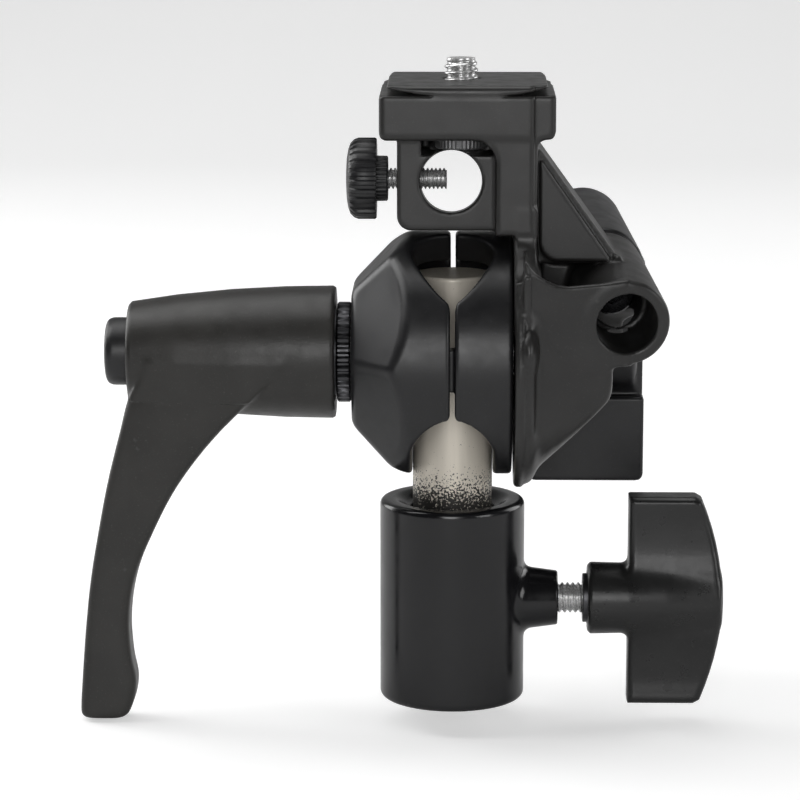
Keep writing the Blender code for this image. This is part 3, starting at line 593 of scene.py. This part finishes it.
def socket_field(p):
    """Tube with a dished top, a chamfered bore for the stand's stud, and a boss for the T-screw."""
    top, bottom = 6.0, -32.0
    base, screw = (0, 0, 0), (0, 0, SOCKET_SCREW_Z)
    body = rod(p, base, Z_AXIS, 13.5, bottom, top, 1.1)
    boss = lathe(p, screw, X_AXIS, [(9, 0), (9, 6.5), (19.6, 5.1), (19.8, 4.9), (19.8, 0)])
    body = blend_in(body, boss, 1.6)
    dish = [(3, 0), (3, 7.7), (4.4, 7.7), (4.7, 8.6), (5.8, 10.1), (7.5, 11.2), (7.5, 0)]
    body = without(body, lathe(p, base, Z_AXIS, dish), 0.6)
    bore = rod(p, base, Z_AXIS, STUD_BORE, -60, 0, 0.0)
    mouth = [(-40, 0), (-40, 9.0), (bottom, 9.0), (bottom + 0.9, STUD_BORE), (bottom + 0.9, 0)]
    body = without(without(body, bore, 0.3), lathe(p, base, Z_AXIS, mouth), 0.3)
    return without(body, rod(p, screw, X_AXIS, SCREW_HOLE, 2, 40, 0.0), 0.5)


def stand_socket():
    return surface("socket_body", socket_field, "stand_socket", 0.42)


def stem_field(p):
    foot, top = 3.3, 48.5
    bar = rod(p, (0, 0, 0), Z_AXIS, STEM_RADIUS, foot, top, 0.45)
    return without(bar, rod(p, CENTRE, X_AXIS, BOLT_BORE, -20, 20, 0.0), 0.4)


def pivot_stem():
    return surface("stem_bar", stem_field, "pivot_stem", 0.36)


# ---- T-screw ----

WING_HALF = 19.9
WING_START = 33.0
WING_SHOULDER = 45.4
KNOB_END = 50.6
CROWN_RADIUS = 48.66
CROWN_X = KNOB_END - CROWN_RADIUS
WING_HEIGHTS = (0.0, 6.0, 9.0, 12.5, 15.5, 17.6, 19.0, 20.5)
WING_DEPTHS = (4.4, 3.9, 3.3, 3.0, 3.0, 3.25, 3.4, 3.1)


def knob_field(p):
    """Wing with rolled tips and dished faces around a round hub whose ridge runs right across."""
    screw = (0, 0, SOCKET_SCREW_Z)
    height = p[2] - SOCKET_SCREW_Z
    outline = [(WING_START, -WING_HALF), (WING_START, WING_HALF), (WING_SHOULDER, WING_HALF)]
    outline += arc(CROWN_X, 0, CROWN_RADIUS, 23.2, -23.2, 14) + [(WING_SHOULDER, -WING_HALF)]
    side = outline_field(p[0], height, outline)
    half = smooth_table(np.abs(height), WING_HEIGHTS, WING_DEPTHS)
    wing = joined(side, (np.abs(p[1]) - half) * 0.9, 1.2)
    neck = [(25.4, 0), (25.4, 6.2), (26.0, 6.75), (33, 6.6), (40, 6.1), (46, 5.4), (50.0, 4.9), (50.0, 0)]
    hub = common(lathe(p, screw, X_AXIS, neck), length(p[0] - CROWN_X, height) - CROWN_RADIUS, 1.0)
    body = blend_in(wing, hub, 1.6)
    mouth = rod(p, screw, X_AXIS, 4.9, 20, 27.7, 0.0)
    bore = rod(p, screw, X_AXIS, SCREW_HOLE, 20, 36.3, 0.0)
    return without(without(body, mouth, 0.4), bore, 0.2)


def socket_knob():
    return surface("t_knob", knob_field, "socket_knob", 0.4)


def socket_screw():
    return thread("t_screw_shank", axis_x(SOCKET_SCREW_Z), 2.85, 1.0, 8.9, 36.0, 0.42)


def knob_ferrule():
    return turned_ring("knob_ring", 24.5, 27.4, SCREW_HOLE, 4.6, axis_x(SOCKET_SCREW_Z), 48)


# ---- Clamp drum ----


def pocket_field(p):
    """The stem's room: a flat disc, and openings that end in a blunt point at the front."""
    room = rod(p, CENTRE, X_AXIS, POCKET_RADIUS, -POCKET_HALF, POCKET_HALF, 0.3)
    for (back, front), point, power, sign in (
        (TOP_SLOT, TOP_SLOT_POINT, 1.4, 1),
        (BOTTOM_SLOT, BOTTOM_SLOT_POINT, 1.9, -1),
    ):
        height = (p[2] - TILT_Z) * sign
        angle = np.arctan2(-p[1], height)
        nearest = np.clip(angle, back, front)
        du, dv = -np.sin(nearest), np.cos(nearest)
        along = p[1] * du + height * dv
        forward = -(p[1] * dv - height * du)
        share = np.where(forward > 0, forward / point, -forward / SLOT_RADIUS)
        bend = np.where(forward > 0, power, 2.0)
        across = np.abs(p[0]) / SLOT_RADIUS
        ring = (across**bend + share**bend) ** (1 / bend)
        slot = np.maximum((ring - 1) * SLOT_RADIUS * 0.8, -along)
        room = np.minimum(room, slot)
    return room


def jaw_field(p, low, high):
    drum = rod(p, CENTRE, X_AXIS, DRUM_RADIUS, low, high, 0.7)
    drum = without(drum, pocket_field(p), 0.7)
    return without(drum, rod(p, CENTRE, X_AXIS, BOLT_BORE, -60, 60, 0.0), 0.3)


def key_field(p, side, nearest, farthest, start, end, half, edge):
    """A block before (-1) or behind (1) the bolt that keeps the two jaws from turning apart."""
    near, far = sorted((side * nearest, side * farthest))
    return box(p, (start, near, TILT_Z - half), (end, far, TILT_Z + half), edge)


def inner_jaw_field(p):
    jaw = jaw_field(p, JAW_GAP, 10.9)
    for side in (-1, 1):
        jaw = np.minimum(jaw, key_field(p, side, 17.4, 20.6, -4.0, 3.6, 3.9, 0.4))
    return jaw


def outer_jaw_field(p):
    """Drum half with six facets around its end, a seat for the washer and two keyways."""
    jaw = jaw_field(p, DRUM_START, -JAW_GAP)
    facet_start = 12.5
    tilt = math.atan(10.0 / 10.2)
    for i in range(6):
        angle = math.radians(30 + 60 * i)
        normal = (-math.sin(tilt), math.cos(tilt) * math.cos(angle), math.cos(tilt) * math.sin(angle))
        point = (DRUM_START, facet_start * math.cos(angle), TILT_Z + facet_start * math.sin(angle))
        jaw = common(jaw, half_space(p, point, normal), 1.0)
    jaw = without(jaw, rod(p, CENTRE, X_AXIS, 8.3, -30, -17.4, 0.0), 0.3)
    for side in (-1, 1):
        jaw = without(jaw, key_field(p, side, 16.4, 20.9, -5.0, 3.0, 4.2, 0.2), 0.2)
    return jaw


def inner_jaw():
    return surface("drum_half_inner", inner_jaw_field, "inner_jaw", 0.36)


def outer_jaw():
    return surface("drum_half_outer", outer_jaw_field, "outer_jaw", 0.36)


def thrust_washer():
    return turned_ring("thrust_ring", -18.8, -17.7, BOLT_BORE, 7.9, axis_x(TILT_Z), 64)


def clamp_bolt():
    place = axis_x(TILT_Z)
    plain = [(-5.6, 3.45), (-5.2, 4.0), (15.3, 4.0), (15.3, 0)]
    shank = thread("clamp_bolt_shank", place, 4.0, 1.25, -34.0, -6.0, 0.55, plain)
    head = [(15.2, 0), (15.2, 6.3), (15.6, 6.5), (19.8, 6.5), (20.4, 6.0), (20.4, 0)]
    rows = lathe_rows(rounded_stations(head, 0.2), place, 96, hexagon(0.02))
    return [shank, skin("clamp_bolt_head", rows, sharp=35)]


# ---- Ratchet lever ----


def ratchet_insert():
    """Serrated collar and sleeve as one turned piece."""
    tooth_count = 32
    tooth_share = 0.038
    collar_start = -21.4

    def teeth(angle, along):
        if along < collar_start:
            return 1.0
        wave = math.cos(angle * tooth_count)
        return 1.0 - tooth_share + tooth_share * max(-1.0, min(1.0, wave * 1.8))
    stations = [(-41.0, 0), (-41.0, 7.6), (-40.6, 8.0), (-21.5, 8.0), (-21.35, 9.0), (-21.1, 9.3)]
    stations += [(-19.1, 9.3), (-18.9, 9.1), (-18.9, BOLT_BORE), (-36.0, BOLT_BORE), (-36.0, 0)]
    return skin("serrated_insert", lathe_rows(stations, axis_x(TILT_Z), 320, teeth), sharp=35)


ARM_TIP = -36.6
HUB_PLACES = (-60.1, -51, -41, -31, -22.2)
HUB_RADII = (9.3, 10.6, 11.6, 12.15, 12.3)
ARM_HEIGHTS = (ARM_TIP, -34.0, -29.5, -24.5, -18.0, -9.0, 0.0, 9.3, 19.4, 26.0, 33.0)
ARM_LEFT = (-70.1, -70.1, -69.8, -69.4, -68.8, -67.7, -66.1, -64.2, -61.6, -59.8, -56.6)
ARM_RIGHT = (-61.6, -60.4, -59.5, -60.3, -60.7, -59.4, -55.8, -50.9, -43.2, -36.8, -30.5)
ARM_SHARE = (0.40, 0.41, 0.43, 0.44, 0.46, 0.51, 0.58, 0.69, 0.84, 0.95, 1.01)


def handle_field(p):
    """Tapering hub, and a crisp-edged arm whose front and back run out flush with it."""
    left = smooth_table(p[2], ARM_HEIGHTS, ARM_LEFT)
    right = smooth_table(p[2], ARM_HEIGHTS, ARM_RIGHT)
    deep = np.interp(p[0], HUB_PLACES, HUB_RADII) * smooth_table(p[2], ARM_HEIGHTS, ARM_SHARE)
    from_middle = p[0] - (left + right) / 2
    aside = (np.abs(from_middle) - (right - left) / 2) * 0.85
    crown = 0.5 * (from_middle / 6) ** 2
    below_hub = TILT_Z - p[2] > 8
    arm = common(aside, (np.abs(p[1]) - deep + crown * below_hub) * 0.95, 1.5)
    arm = common(arm, slab(p[2], ARM_TIP, TILT_Z + 0.6), 1.6)
    barrel = [(-60.1, 0), (-60.1, 8.7), (-59.6, 9.3), *zip(HUB_PLACES[1:], HUB_RADII[1:])]
    barrel += [(-21.7, 12.0), (-21.7, 0)]
    body = blend_in(lathe(p, CENTRE, X_AXIS, barrel), arm, 0.7)
    for radius, start, end, edge in (
        (8.35, -41.4, 0, 0.5),
        (2.5, -50, -40, 0.1),
        (5.2, -56, -43.8, 0.1),
        (6.6, -80, -52, 0.4),
    ):
        body = without(body, rod(p, CENTRE, X_AXIS, radius, start, end, 0.0), edge)
    return body


def lever_handle():
    return surface("lever_body", handle_field, "lever_handle", 0.42)


def lever_screw():
    place = axis_x(TILT_Z)
    shank = thread("lever_screw_shank", place, 2.0, 0.7, -48.9, -37.0, 0.35)
    head = [(-51.4, 0), (-51.4, 4.0), (-51.2, 4.2), (-49.3, 4.2), (-49.2, 4.0), (-49.2, 0)]
    return [shank, turned("lever_screw_head", head, place, 48, 0.15)]


def lever_spring():
    return coil("lever_coil", axis_x(TILT_Z), 0.42, 3.6, -48.3, -44.7, 3.5)


def lever_button():
    profile = [(-64.4, 0), (-64.4, 4.9), (-64.0, 5.9), (-63.1, 6.3), (-55.2, 6.3), (-55.2, 0)]
    return turned("push_button", profile, axis_x(TILT_Z), 72, 0.7)


# ---- Frame casting ----


SHOE_LEFT, SHOE_RIGHT = -13.2, 18.3
SHOE_FRONT, SHOE_BACK = -12.8, 19.0
SHOE_UNDERSIDE, SHOE_TOP = 74.4, 83.9
POST_LEFT, POST_RIGHT = 7.7, 15.2
POST_BACK = 12.0
BLOCK_LEFT, BLOCK_RIGHT = -10.2, 8.2
BLOCK_BOTTOM = 57.5


def shoe_field(p):
    """Shoe on its post, with the umbrella block in front of the post."""
    inner, outer, corner = 4.3, 2.6, 2.6
    tee = [(SHOE_LEFT, SHOE_TOP), (SHOE_LEFT, 75.7), (-12.9, 74.8), (-12.0, SHOE_UNDERSIDE)]
    tee += arc(POST_LEFT - inner, SHOE_UNDERSIDE - inner, inner, 90, 0)
    tee += [(POST_LEFT, 57.0), (POST_RIGHT, 57.0)]
    tee += arc(POST_RIGHT + outer, 75.0 - outer, outer, 180, 100, 5)
    tee += [(SHOE_RIGHT, 75.8), (SHOE_RIGHT, SHOE_TOP)]
    body = plate(p, tee, SHOE_FRONT, POST_BACK, 0.9)
    shoe = box(p, (SHOE_LEFT, SHOE_FRONT, SHOE_UNDERSIDE), (SHOE_RIGHT, SHOE_BACK, 84.0), 1.0)
    body = blend_in(body, shoe, 0.8)
    block = [(BLOCK_RIGHT, 77), (BLOCK_LEFT, 77)]
    block += arc(BLOCK_LEFT + corner, BLOCK_BOTTOM + corner, corner, 180, 270)
    block += [(BLOCK_RIGHT, BLOCK_BOTTOM)]
    body = blend_in(body, plate(p, block, -9.4, 9.5, 0.7), 0.7)
    return without(body, common(14.7 - p[0], p[1] + 11.9), 0.9)


def root_field(p):
    """Foot of the post, with a concave sweep in front of it."""
    front, top = -21.2, 58.6
    root = box(p, (11.3, -12.4, 40), (POST_RIGHT, POST_BACK, 62), 0.3)
    sweep = box(p, (11.4, front, 40), (15.0, -4.0, top), 0.5)
    sweep = common(sweep, 8.8 - length(p[1] - front, p[2] - top), 0.2)
    return np.minimum(root, sweep)


def front_shell_field(p, across):
    """Turned shell that ends at the tube's front, with a hollow, a hub and a rib on its face."""
    side = [(11.8, 0), (11.8, 24.3), (13.4, 24.2), (14.4, 23.7), (15.6, 22.8), (17.0, 21.9)]
    side += [(18.8, 21.0), (21.0, 20.3), (24.0, 19.8), (37.0, 19.2), (37.0, 0)]
    shell = lathe(p, CENTRE, X_AXIS, side)
    shell = common(shell, -across, 0.9)
    shell = common(shell, half_space(p, (20.8, 0, 18.9), (0.757, 0, -0.654)), 2.2)
    shell = common(shell, p[2] - 49.5, 0.8)
    shell = common(shell, p[1] - 11.5, 0.8)
    shell = common(shell, p[0] - 28.9, 1.2)
    face = [(12.9, 54.5), (13.6, 53.0), (14.9, 51.6), (16.6, 50.4), (18.6, 49.5), (20.6, 49.2)]
    face += [(26.3, 49.65), (31.3, 50.1), (31.9, 34.6), (28.3, 34.2), (23.8, 33.2), (19.3, 37.3)]
    face += [(17.1, 39.9), (14.4, 42.7), (12.9, 43.5)]
    web = common(plate(p, face, -30, 11.4, 0.6), -across, 0.6)
    shell = blend_in(shell, web, 1.1)
    hollow = common(box(p, (15.9, -30, 44.0), (31.0, 3.0, 60), 1.2), 1.7 - across, 0.4)
    shell = without(shell, hollow, 0.4)
    hub = joined(length(p[1], p[2] - TILT_Z) - 24.2, slab(p[0], 11.8, 14.8), 1.4)
    shell = blend_in(shell, hub, 1.8)
    rib = common(box(p, (12.7, -30, 35.5), (14.1, 0, 51.4), 0.3), -across - 0.6, 0.5)
    knuckle = length((p[0] - 13.7) / 1.9, (p[1] + 21.4) / 4.1, (p[2] - 37.2) / 4.6)
    return blend_in(shell, blend_in(rib, (knuckle - 1) * 1.8, 0.6), 0.3)


def gusset_field(p):
    """Triangular brace between post and tube: wedge, footing, raised panel and a round toe."""
    floor, panel_floor = 51.3, 51.8
    back, panel_front = 9.0, -8.0
    wedge = [(13.2, 72.9), (15.3, 72.9), (30.9, floor), (13.2, floor)]
    footing = [(13.2, 60), (30.0, 52), (30.0, 47), (13.2, 47)]
    gusset = np.minimum(plate(p, wedge, -6.7, back, 0.4), plate(p, footing, 3.4, back, 0.4))
    raised = [(15.75, 70.5)] + arc(19.25, 55.3, 3.5, 180, 270, 6) + [(28.9, panel_floor)]
    gusset = np.minimum(gusset, plate(p, raised, panel_front, 5.0, 0.4))
    toe = rod(p, (30.0, 0, 51.9), Y_AXIS, 0.9, panel_front, 4.0, 0.4)
    return blend_in(gusset, toe, 0.4)


def frame_field(p):
    """Shoe, post, umbrella block, gusset, drum flange, front shell and the front of the tube."""
    across, away = around(p, TUBE_FRONT, TUBE_LINE)
    flange = rod(p, CENTRE, X_AXIS, 25.0, 11.3, 13.2, 0.8)
    tube = joined(away - 7.8, slab(across, 0, SEAM), 0.9)
    shell = np.minimum(front_shell_field(p, across), flange)
    shell = blend_in(shell, tube, 1.2)
    shell = blend_in(shell, root_field(p), 1.0)
    shell = blend_in(shell, gusset_field(p), 0.5)
    body = blend_in(shoe_field(p), shell, 0.7)
    return frame_cuts(p, body, across, away)


def frame_cuts(p, body, across, away):
    """Slits under the shoe's curved pad, umbrella hole, wheel pocket and screw holes."""
    middle = (SHOE_RIGHT + SHOE_LEFT) / 2
    pad_radius, pad_bottom = 62.0, 82.0
    pad = pad_radius - length(p[0] - middle, p[2] - (pad_bottom + pad_radius))
    shoe_face = 82.4 - p[2]
    body = common(body, -np.maximum(pad, shoe_face), 0.6)
    hole = rod(p, HOLE_FRONT, HOLE_LINE, 5.7, -20, 40, 0.0)
    body = without(body, hole, 0.35)
    window = box(p, (-5.8, -9.6, 71.3), (7.4, WHEEL_Y, SHOE_UNDERSIDE), 0.3)
    turn = length(p[0] - WHEEL_X, p[1] - WHEEL_Y)
    wheel_room = np.maximum(turn - 5.8, slab(p[2], 68.6, SHOE_UNDERSIDE))
    stud = np.maximum(turn - 3.4, slab(p[2], 70, 90))
    body = without(body, np.minimum(np.minimum(window, wheel_room), stud), 0.3)
    thumb = np.maximum(length(p[1], p[2] - THUMB_Z) - 2.25, slab(p[0], -30, -2))
    body = without(body, thumb, 0.4)
    from_axis = length(p[1], p[2] - TILT_Z)
    bolt = np.minimum(from_axis - BOLT_BORE, np.maximum(from_axis - 8.2, 14.8 - p[0]))
    body = without(body, bolt, 0.5)
    mouth = np.maximum(away - 5.5, across - 13.0)
    step = np.maximum(away - 4.6, across - HEAD_SEAT)
    through = np.maximum(away - LONG_BOLT_BORE, across - 60)
    return without(body, np.minimum(np.minimum(mouth, step), through), 0.5)


def bracket_frame():
    return surface("frame_casting", frame_field, "bracket_frame", 0.45)


# ---- Rear housing ----


def rear_field(p):
    """Foot block, upright, a raked web and the back of the tube."""
    right, floor = 37.0, 3.8
    across, away = around(p, TUBE_FRONT, TUBE_LINE)
    lower = box(p, (15.2, 25.2, floor), (right, 42.0, 20.4), 0.6)
    upper = box(p, (15.4, 27.4, 12.0), (36.8, 41.6, 45.5), 0.6)
    tube = joined(away - 8.2, slab(across, SEAM + 0.3, TUBE_LENGTH), 0.8)
    corner = joined(p[0] - right, floor - p[2], 1.6)
    body = np.minimum(common(lower, corner), upper)
    slope = half_space(p, (0, 27.0, 22.0), (0, -0.72, -0.69))
    web = common(slab(p[0], 18.5, 35.5), slab(p[1], 14.5, 41.0), 1.0)
    web = common(common(web, slab(p[2], 20.0, 48.0), 1.0), slope, 1.5)
    web = common(web, SEAM + 0.8 - across, 0.5)
    body = blend_in(body, web, 1.2)
    body = blend_in(body, tube, 2.0)
    body = without(body, away - LONG_BOLT_BORE, 0.2)
    nut_room = np.maximum(away - 5.3, TUBE_LENGTH - 5.5 - across)
    return without(body, nut_room, 0.4)


def rear_housing():
    return surface("rear_casting", rear_field, "rear_housing", 0.45)


def housing_bolt():
    """Long screw down the tube, its head sunk in the front with a hexagonal recess."""
    place = axis_line(TUBE_FRONT, TUBE_BACK)
    radius, thread_start = 2.5, 46.0
    face, seat = HEAD_SEAT - 5.3, HEAD_SEAT - 0.3
    shank = thread("long_screw_shank", place, radius, 0.8, thread_start, TUBE_LENGTH - 0.6, 0.35)
    sides = [(face + 3.4, 0), (face + 3.4, radius), (46.2, radius), (46.2, 0)]
    plain = turned("long_screw_body", sides, place, 40)
    rows = lathe_rows([(face + 2.6, 0)], place, 60)
    rows += lathe_rows([(face + 2.6, 2.0), (face, 2.0)], place, 60, hexagon(0.0))
    rows += lathe_rows([(face, 3.9), (face + 0.4, 4.25), (seat, 4.25), (seat, 0)], place, 60)
    return [shank, plain, skin("long_screw_head", rows, sharp=35)]


def housing_nut():
    place = axis_line(TUBE_FRONT, TUBE_BACK)
    front, back = TUBE_LENGTH - 5.2, TUBE_LENGTH - 1.2
    bore, radius = 2.65, 4.0
    rows = lathe_rows([(front, bore)], place, 72)
    rows += lathe_rows([(front, radius), (back, radius)], place, 72, hexagon(0.02))
    rows += lathe_rows([(back, bore)], place, 72)
    return skin("long_screw_nut", rows, ring=True, sharp=35)


# ---- Umbrella thumbscrew and light screw ----


def umbrella_screw():
    return thread("thumbscrew_shank", axis_x(THUMB_Z), 1.95, 0.75, -17.0, -1.2, 0.42, count=32)


def umbrella_knob():
    """Ribbed head with a domed face, and a collar towards the block."""
    rib_count = 28
    rib_share = 0.055
    ribs_start, ribs_end = -19.3, -14.05

    def ribs(angle, along):
        if along > ribs_end:
            return 1.0
        fade = max(0.0, min(1.0, (along - ribs_start) / 0.9))
        wave = max(-1.0, min(1.0, math.cos(angle * rib_count) * 2.0))
        return 1.0 - rib_share * fade * (0.5 - 0.5 * wave)
    stations = [(-19.7, 0), (-19.66, 2.0), (-19.55, 3.9), (-19.3, 5.4), (-18.9, 6.5), (-18.2, 7.2)]
    stations += [(-17.4, 7.5), (-14.4, 7.5), (-14.1, 7.3), (-14.1, 4.2), (-12.2, 4.15), (-12.0, 3.95)]
    stations += [(-12.0, 2.3), (-17.3, 2.3), (-17.3, 0)]
    return skin("thumb_head", lathe_rows(stations, axis_x(THUMB_Z), 336, ribs), sharp=38)


def light_screw():
    place = Matrix.Translation((WHEEL_X, WHEEL_Y, 0)) @ Matrix.Rotation(math.pi, 4, "X")
    foot = [(-74.0, 2.9), (-72.0, 2.9), (-72.0, 0)]
    return thread("light_stud", place, 3.1, 1.27, -88.0, -74.2, 0.55, foot)


def light_screw_wheel():
    knurl_count = 40
    knurl_share = 0.03

    def knurl(angle, along):
        return 1.0 - knurl_share * (0.5 - 0.5 * math.cos(angle * knurl_count))
    loop = [(71.8, 0), (71.8, 3.4), (74.1, 3.4), (74.1, 4.6), (73.8, 4.9)]
    loop += [(71.7, 4.9), (71.4, 4.6), (71.4, 0)]
    place = Matrix.Translation((WHEEL_X, WHEEL_Y, 0))
    return skin("knurled_wheel", lathe_rows(loop, place, 240, knurl), sharp=38)


# ---- The bracket ----


# Colour, roughness, grain in cycles per metre, grain depth in metres, strength, edge colour (partly wear,
# partly painted highlight)
COATINGS = {
    "cast_black": ((0.010, 0.010, 0.011), 0.34, 1500, 0.00003, 0.20, (0.017, 0.017, 0.018)),
    "frame_coat": ((0.018, 0.0175, 0.017), 0.36, 1700, 0.00003, 0.30, (0.036, 0.036, 0.035)),
    "lever_coat": ((0.021, 0.020, 0.018), 0.40, 1600, 0.00005, 0.45, (0.042, 0.041, 0.040)),
    "socket_paint": ((0.006, 0.006, 0.007), 0.20, 700, 0.00002, 0.10, (0.030, 0.030, 0.031)),
    "knob_plastic": ((0.014, 0.014, 0.014), 0.30, 1100, 0.00005, 0.35, (0.030, 0.030, 0.030)),
    "rib_plastic": ((0.013, 0.013, 0.014), 0.38, 1400, 0.00004, 0.30, None),
}
# Colour, roughness, metallic value
PLATINGS = {
    "zinc_plate": ((0.70, 0.70, 0.70), 0.24, 0.7),
    "black_oxide": ((0.085, 0.085, 0.090), 0.38, 1.0),
    "wheel_steel": ((0.34, 0.34, 0.345), 0.42, 0.6),
    # Near black: the screw's dark finish with the shade inside the tube's deep mouth painted onto it.
    "bolt_black_and_shade": ((0.012, 0.012, 0.013), 0.22, 0.9),
}
# CAD node, function that makes its visible pieces, body, material
PIECES = (
    ("stand_socket", stand_socket, "socket", "socket_paint"),
    ("pivot_stem", pivot_stem, "socket", "bare_stem"),
    ("socket_screw", socket_screw, "socket_screw", "zinc_plate"),
    ("knob_ferrule", knob_ferrule, "socket_knob", "black_oxide"),
    ("socket_knob", socket_knob, "socket_knob", "knob_plastic"),
    ("bracket_frame", bracket_frame, "bracket", "frame_coat"),
    ("rear_housing", rear_housing, "bracket", "cast_black"),
    ("housing_bolt", housing_bolt, "bracket", "bolt_black_and_shade"),
    ("housing_nut", housing_nut, "bracket", "zinc_plate"),
    ("inner_jaw", inner_jaw, "bracket", "cast_black"),
    ("clamp_bolt", clamp_bolt, "bracket", "zinc_plate"),
    ("outer_jaw", outer_jaw, "outer_jaw", "cast_black"),
    ("thrust_washer", thrust_washer, "outer_jaw", "zinc_plate"),
    ("ratchet_insert", ratchet_insert, "lever_insert", "black_oxide"),
    ("lever_screw", lever_screw, "lever_insert", "zinc_plate"),
    ("lever_spring", lever_spring, "lever_insert", "zinc_plate"),
    ("lever_handle", lever_handle, "lever", "lever_coat"),
    ("lever_button", lever_button, "lever_button", "rib_plastic"),
    ("umbrella_screw", umbrella_screw, "umbrella_screw", "zinc_plate"),
    ("umbrella_knob", umbrella_knob, "umbrella_knob", "rib_plastic"),
    ("light_screw", light_screw, "light_screw", "zinc_plate"),
    ("light_screw_wheel", light_screw_wheel, "light_screw_wheel", "wheel_steel"),
)


def build():
    materials = {name: coating(name, *values) for name, values in COATINGS.items()}
    materials.update({name: plated(name, *values) for name, values in PLATINGS.items()})
    materials["bare_stem"] = stem_steel("bare_stem")
    for node, make, body, material in PIECES:
        made = make()
        for piece in made if isinstance(made, list) else [made]:
            piece.data.materials.append(materials[material])
            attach(piece, body)
            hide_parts(node)


# ---- Studio, in metres ----


def backdrop():
    """Floor and backdrop in one pale sweep."""
    floor_z = float(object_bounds()[0][2]) - 0.0005
    half_width = 3.0
    profile = ((-2.5, 0.0), (0.9, 0.0), (1.3, 0.12), (1.5, 0.5), (1.5, 2.6))
    points = [(x, y, floor_z + z) for y, z in profile for x in (-half_width, half_width)]
    faces = [(2 * i, 2 * i + 1, 2 * i + 3, 2 * i + 2) for i in range(len(profile) - 1)]
    sweep = mesh_object("backdrop", points, faces)
    pale, tree, shader = nodes_of("backdrop_paper")
    patches = noise(tree, scale=3, detail=2)
    tone = ramp(tree, patches, [(0.3, (0.72, 0.72, 0.72)), (0.7, (0.74, 0.74, 0.74))])
    tree.links.new(tone, shader.inputs["Base Color"])
    shader.inputs["Roughness"].default_value = 0.9
    shader.inputs["Emission Color"].default_value = (1, 1, 1, 1)
    tree.links.new(glow(tree, 0.06, 0.46), shader.inputs["Emission Strength"])
    sweep.data.materials.append(pale)
    sweep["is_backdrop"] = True


def glow(tree, on_object, to_camera):
    """Strength that differs between the light cast on the object and what the camera sees."""
    seen = tree.nodes.new("ShaderNodeLightPath").outputs["Is Camera Ray"]
    return span(tree, seen, 0, 1, on_object, to_camera)


# Place, side in metres, power in watts
LIGHTS = {
    "key": ((-0.6, 0.05, 0.7), 0.5, 3.1),
    "front": ((-0.05, -1.1, 0.27), 0.42, 3.2),
    "fill": ((0.8, -0.6, 0.26), 0.4, 1.8),
    "top": ((-0.1, 0.15, 1.0), 0.8, 4.0),
    "rim_left": ((-0.75, 0.45, 0.30), 0.5, 3.0),
    "rim_right": ((0.75, 0.45, 0.30), 0.5, 2.2),
}


def lamps():
    """Soft square lights, all aimed at the bracket."""
    aim = Vector((0, 0, 0.03))
    for name, (place, size, power) in LIGHTS.items():
        data = bpy.data.lights.new(name, "AREA")
        data.shape = "SQUARE"
        data.size = size
        data.energy = power
        lamp = bpy.data.objects.new(name, data)
        lamp.location = place
        lamp.rotation_euler = (aim - Vector(place)).to_track_quat("-Z", "Y").to_euler()
        bpy.context.scene.collection.objects.link(lamp)


def sky():
    world = bpy.data.worlds.new("studio")
    world.use_nodes = True
    tree = world.node_tree
    background = tree.nodes["Background"]
    background.inputs["Color"].default_value = (1, 1, 1, 1)
    tree.links.new(glow(tree, 0.04, 1.0), background.inputs["Strength"])
    bpy.context.scene.world = world
    bpy.context.scene.view_settings.view_transform = "Standard"


def view():
    """Camera from the front and slightly above, far enough back for a long lens."""
    sensor, distance, seen_width = 36, 0.615, 0.150
    camera_data = bpy.data.cameras.new("camera")
    camera = bpy.data.objects.new("camera", camera_data)
    camera.location = (0.0018, -0.6, TILT_Z * MM + 0.1053)
    target = Vector((-0.0098, 0.0, 0.0245))
    camera.rotation_euler = (target - camera.location).to_track_quat("-Z", "Y").to_euler()
    camera_data.sensor_width = sensor
    camera_data.lens = sensor * distance / seen_width
    bpy.context.scene.collection.objects.link(camera)
    bpy.context.scene.camera = camera


build()
backdrop()
lamps()
sky()
view()
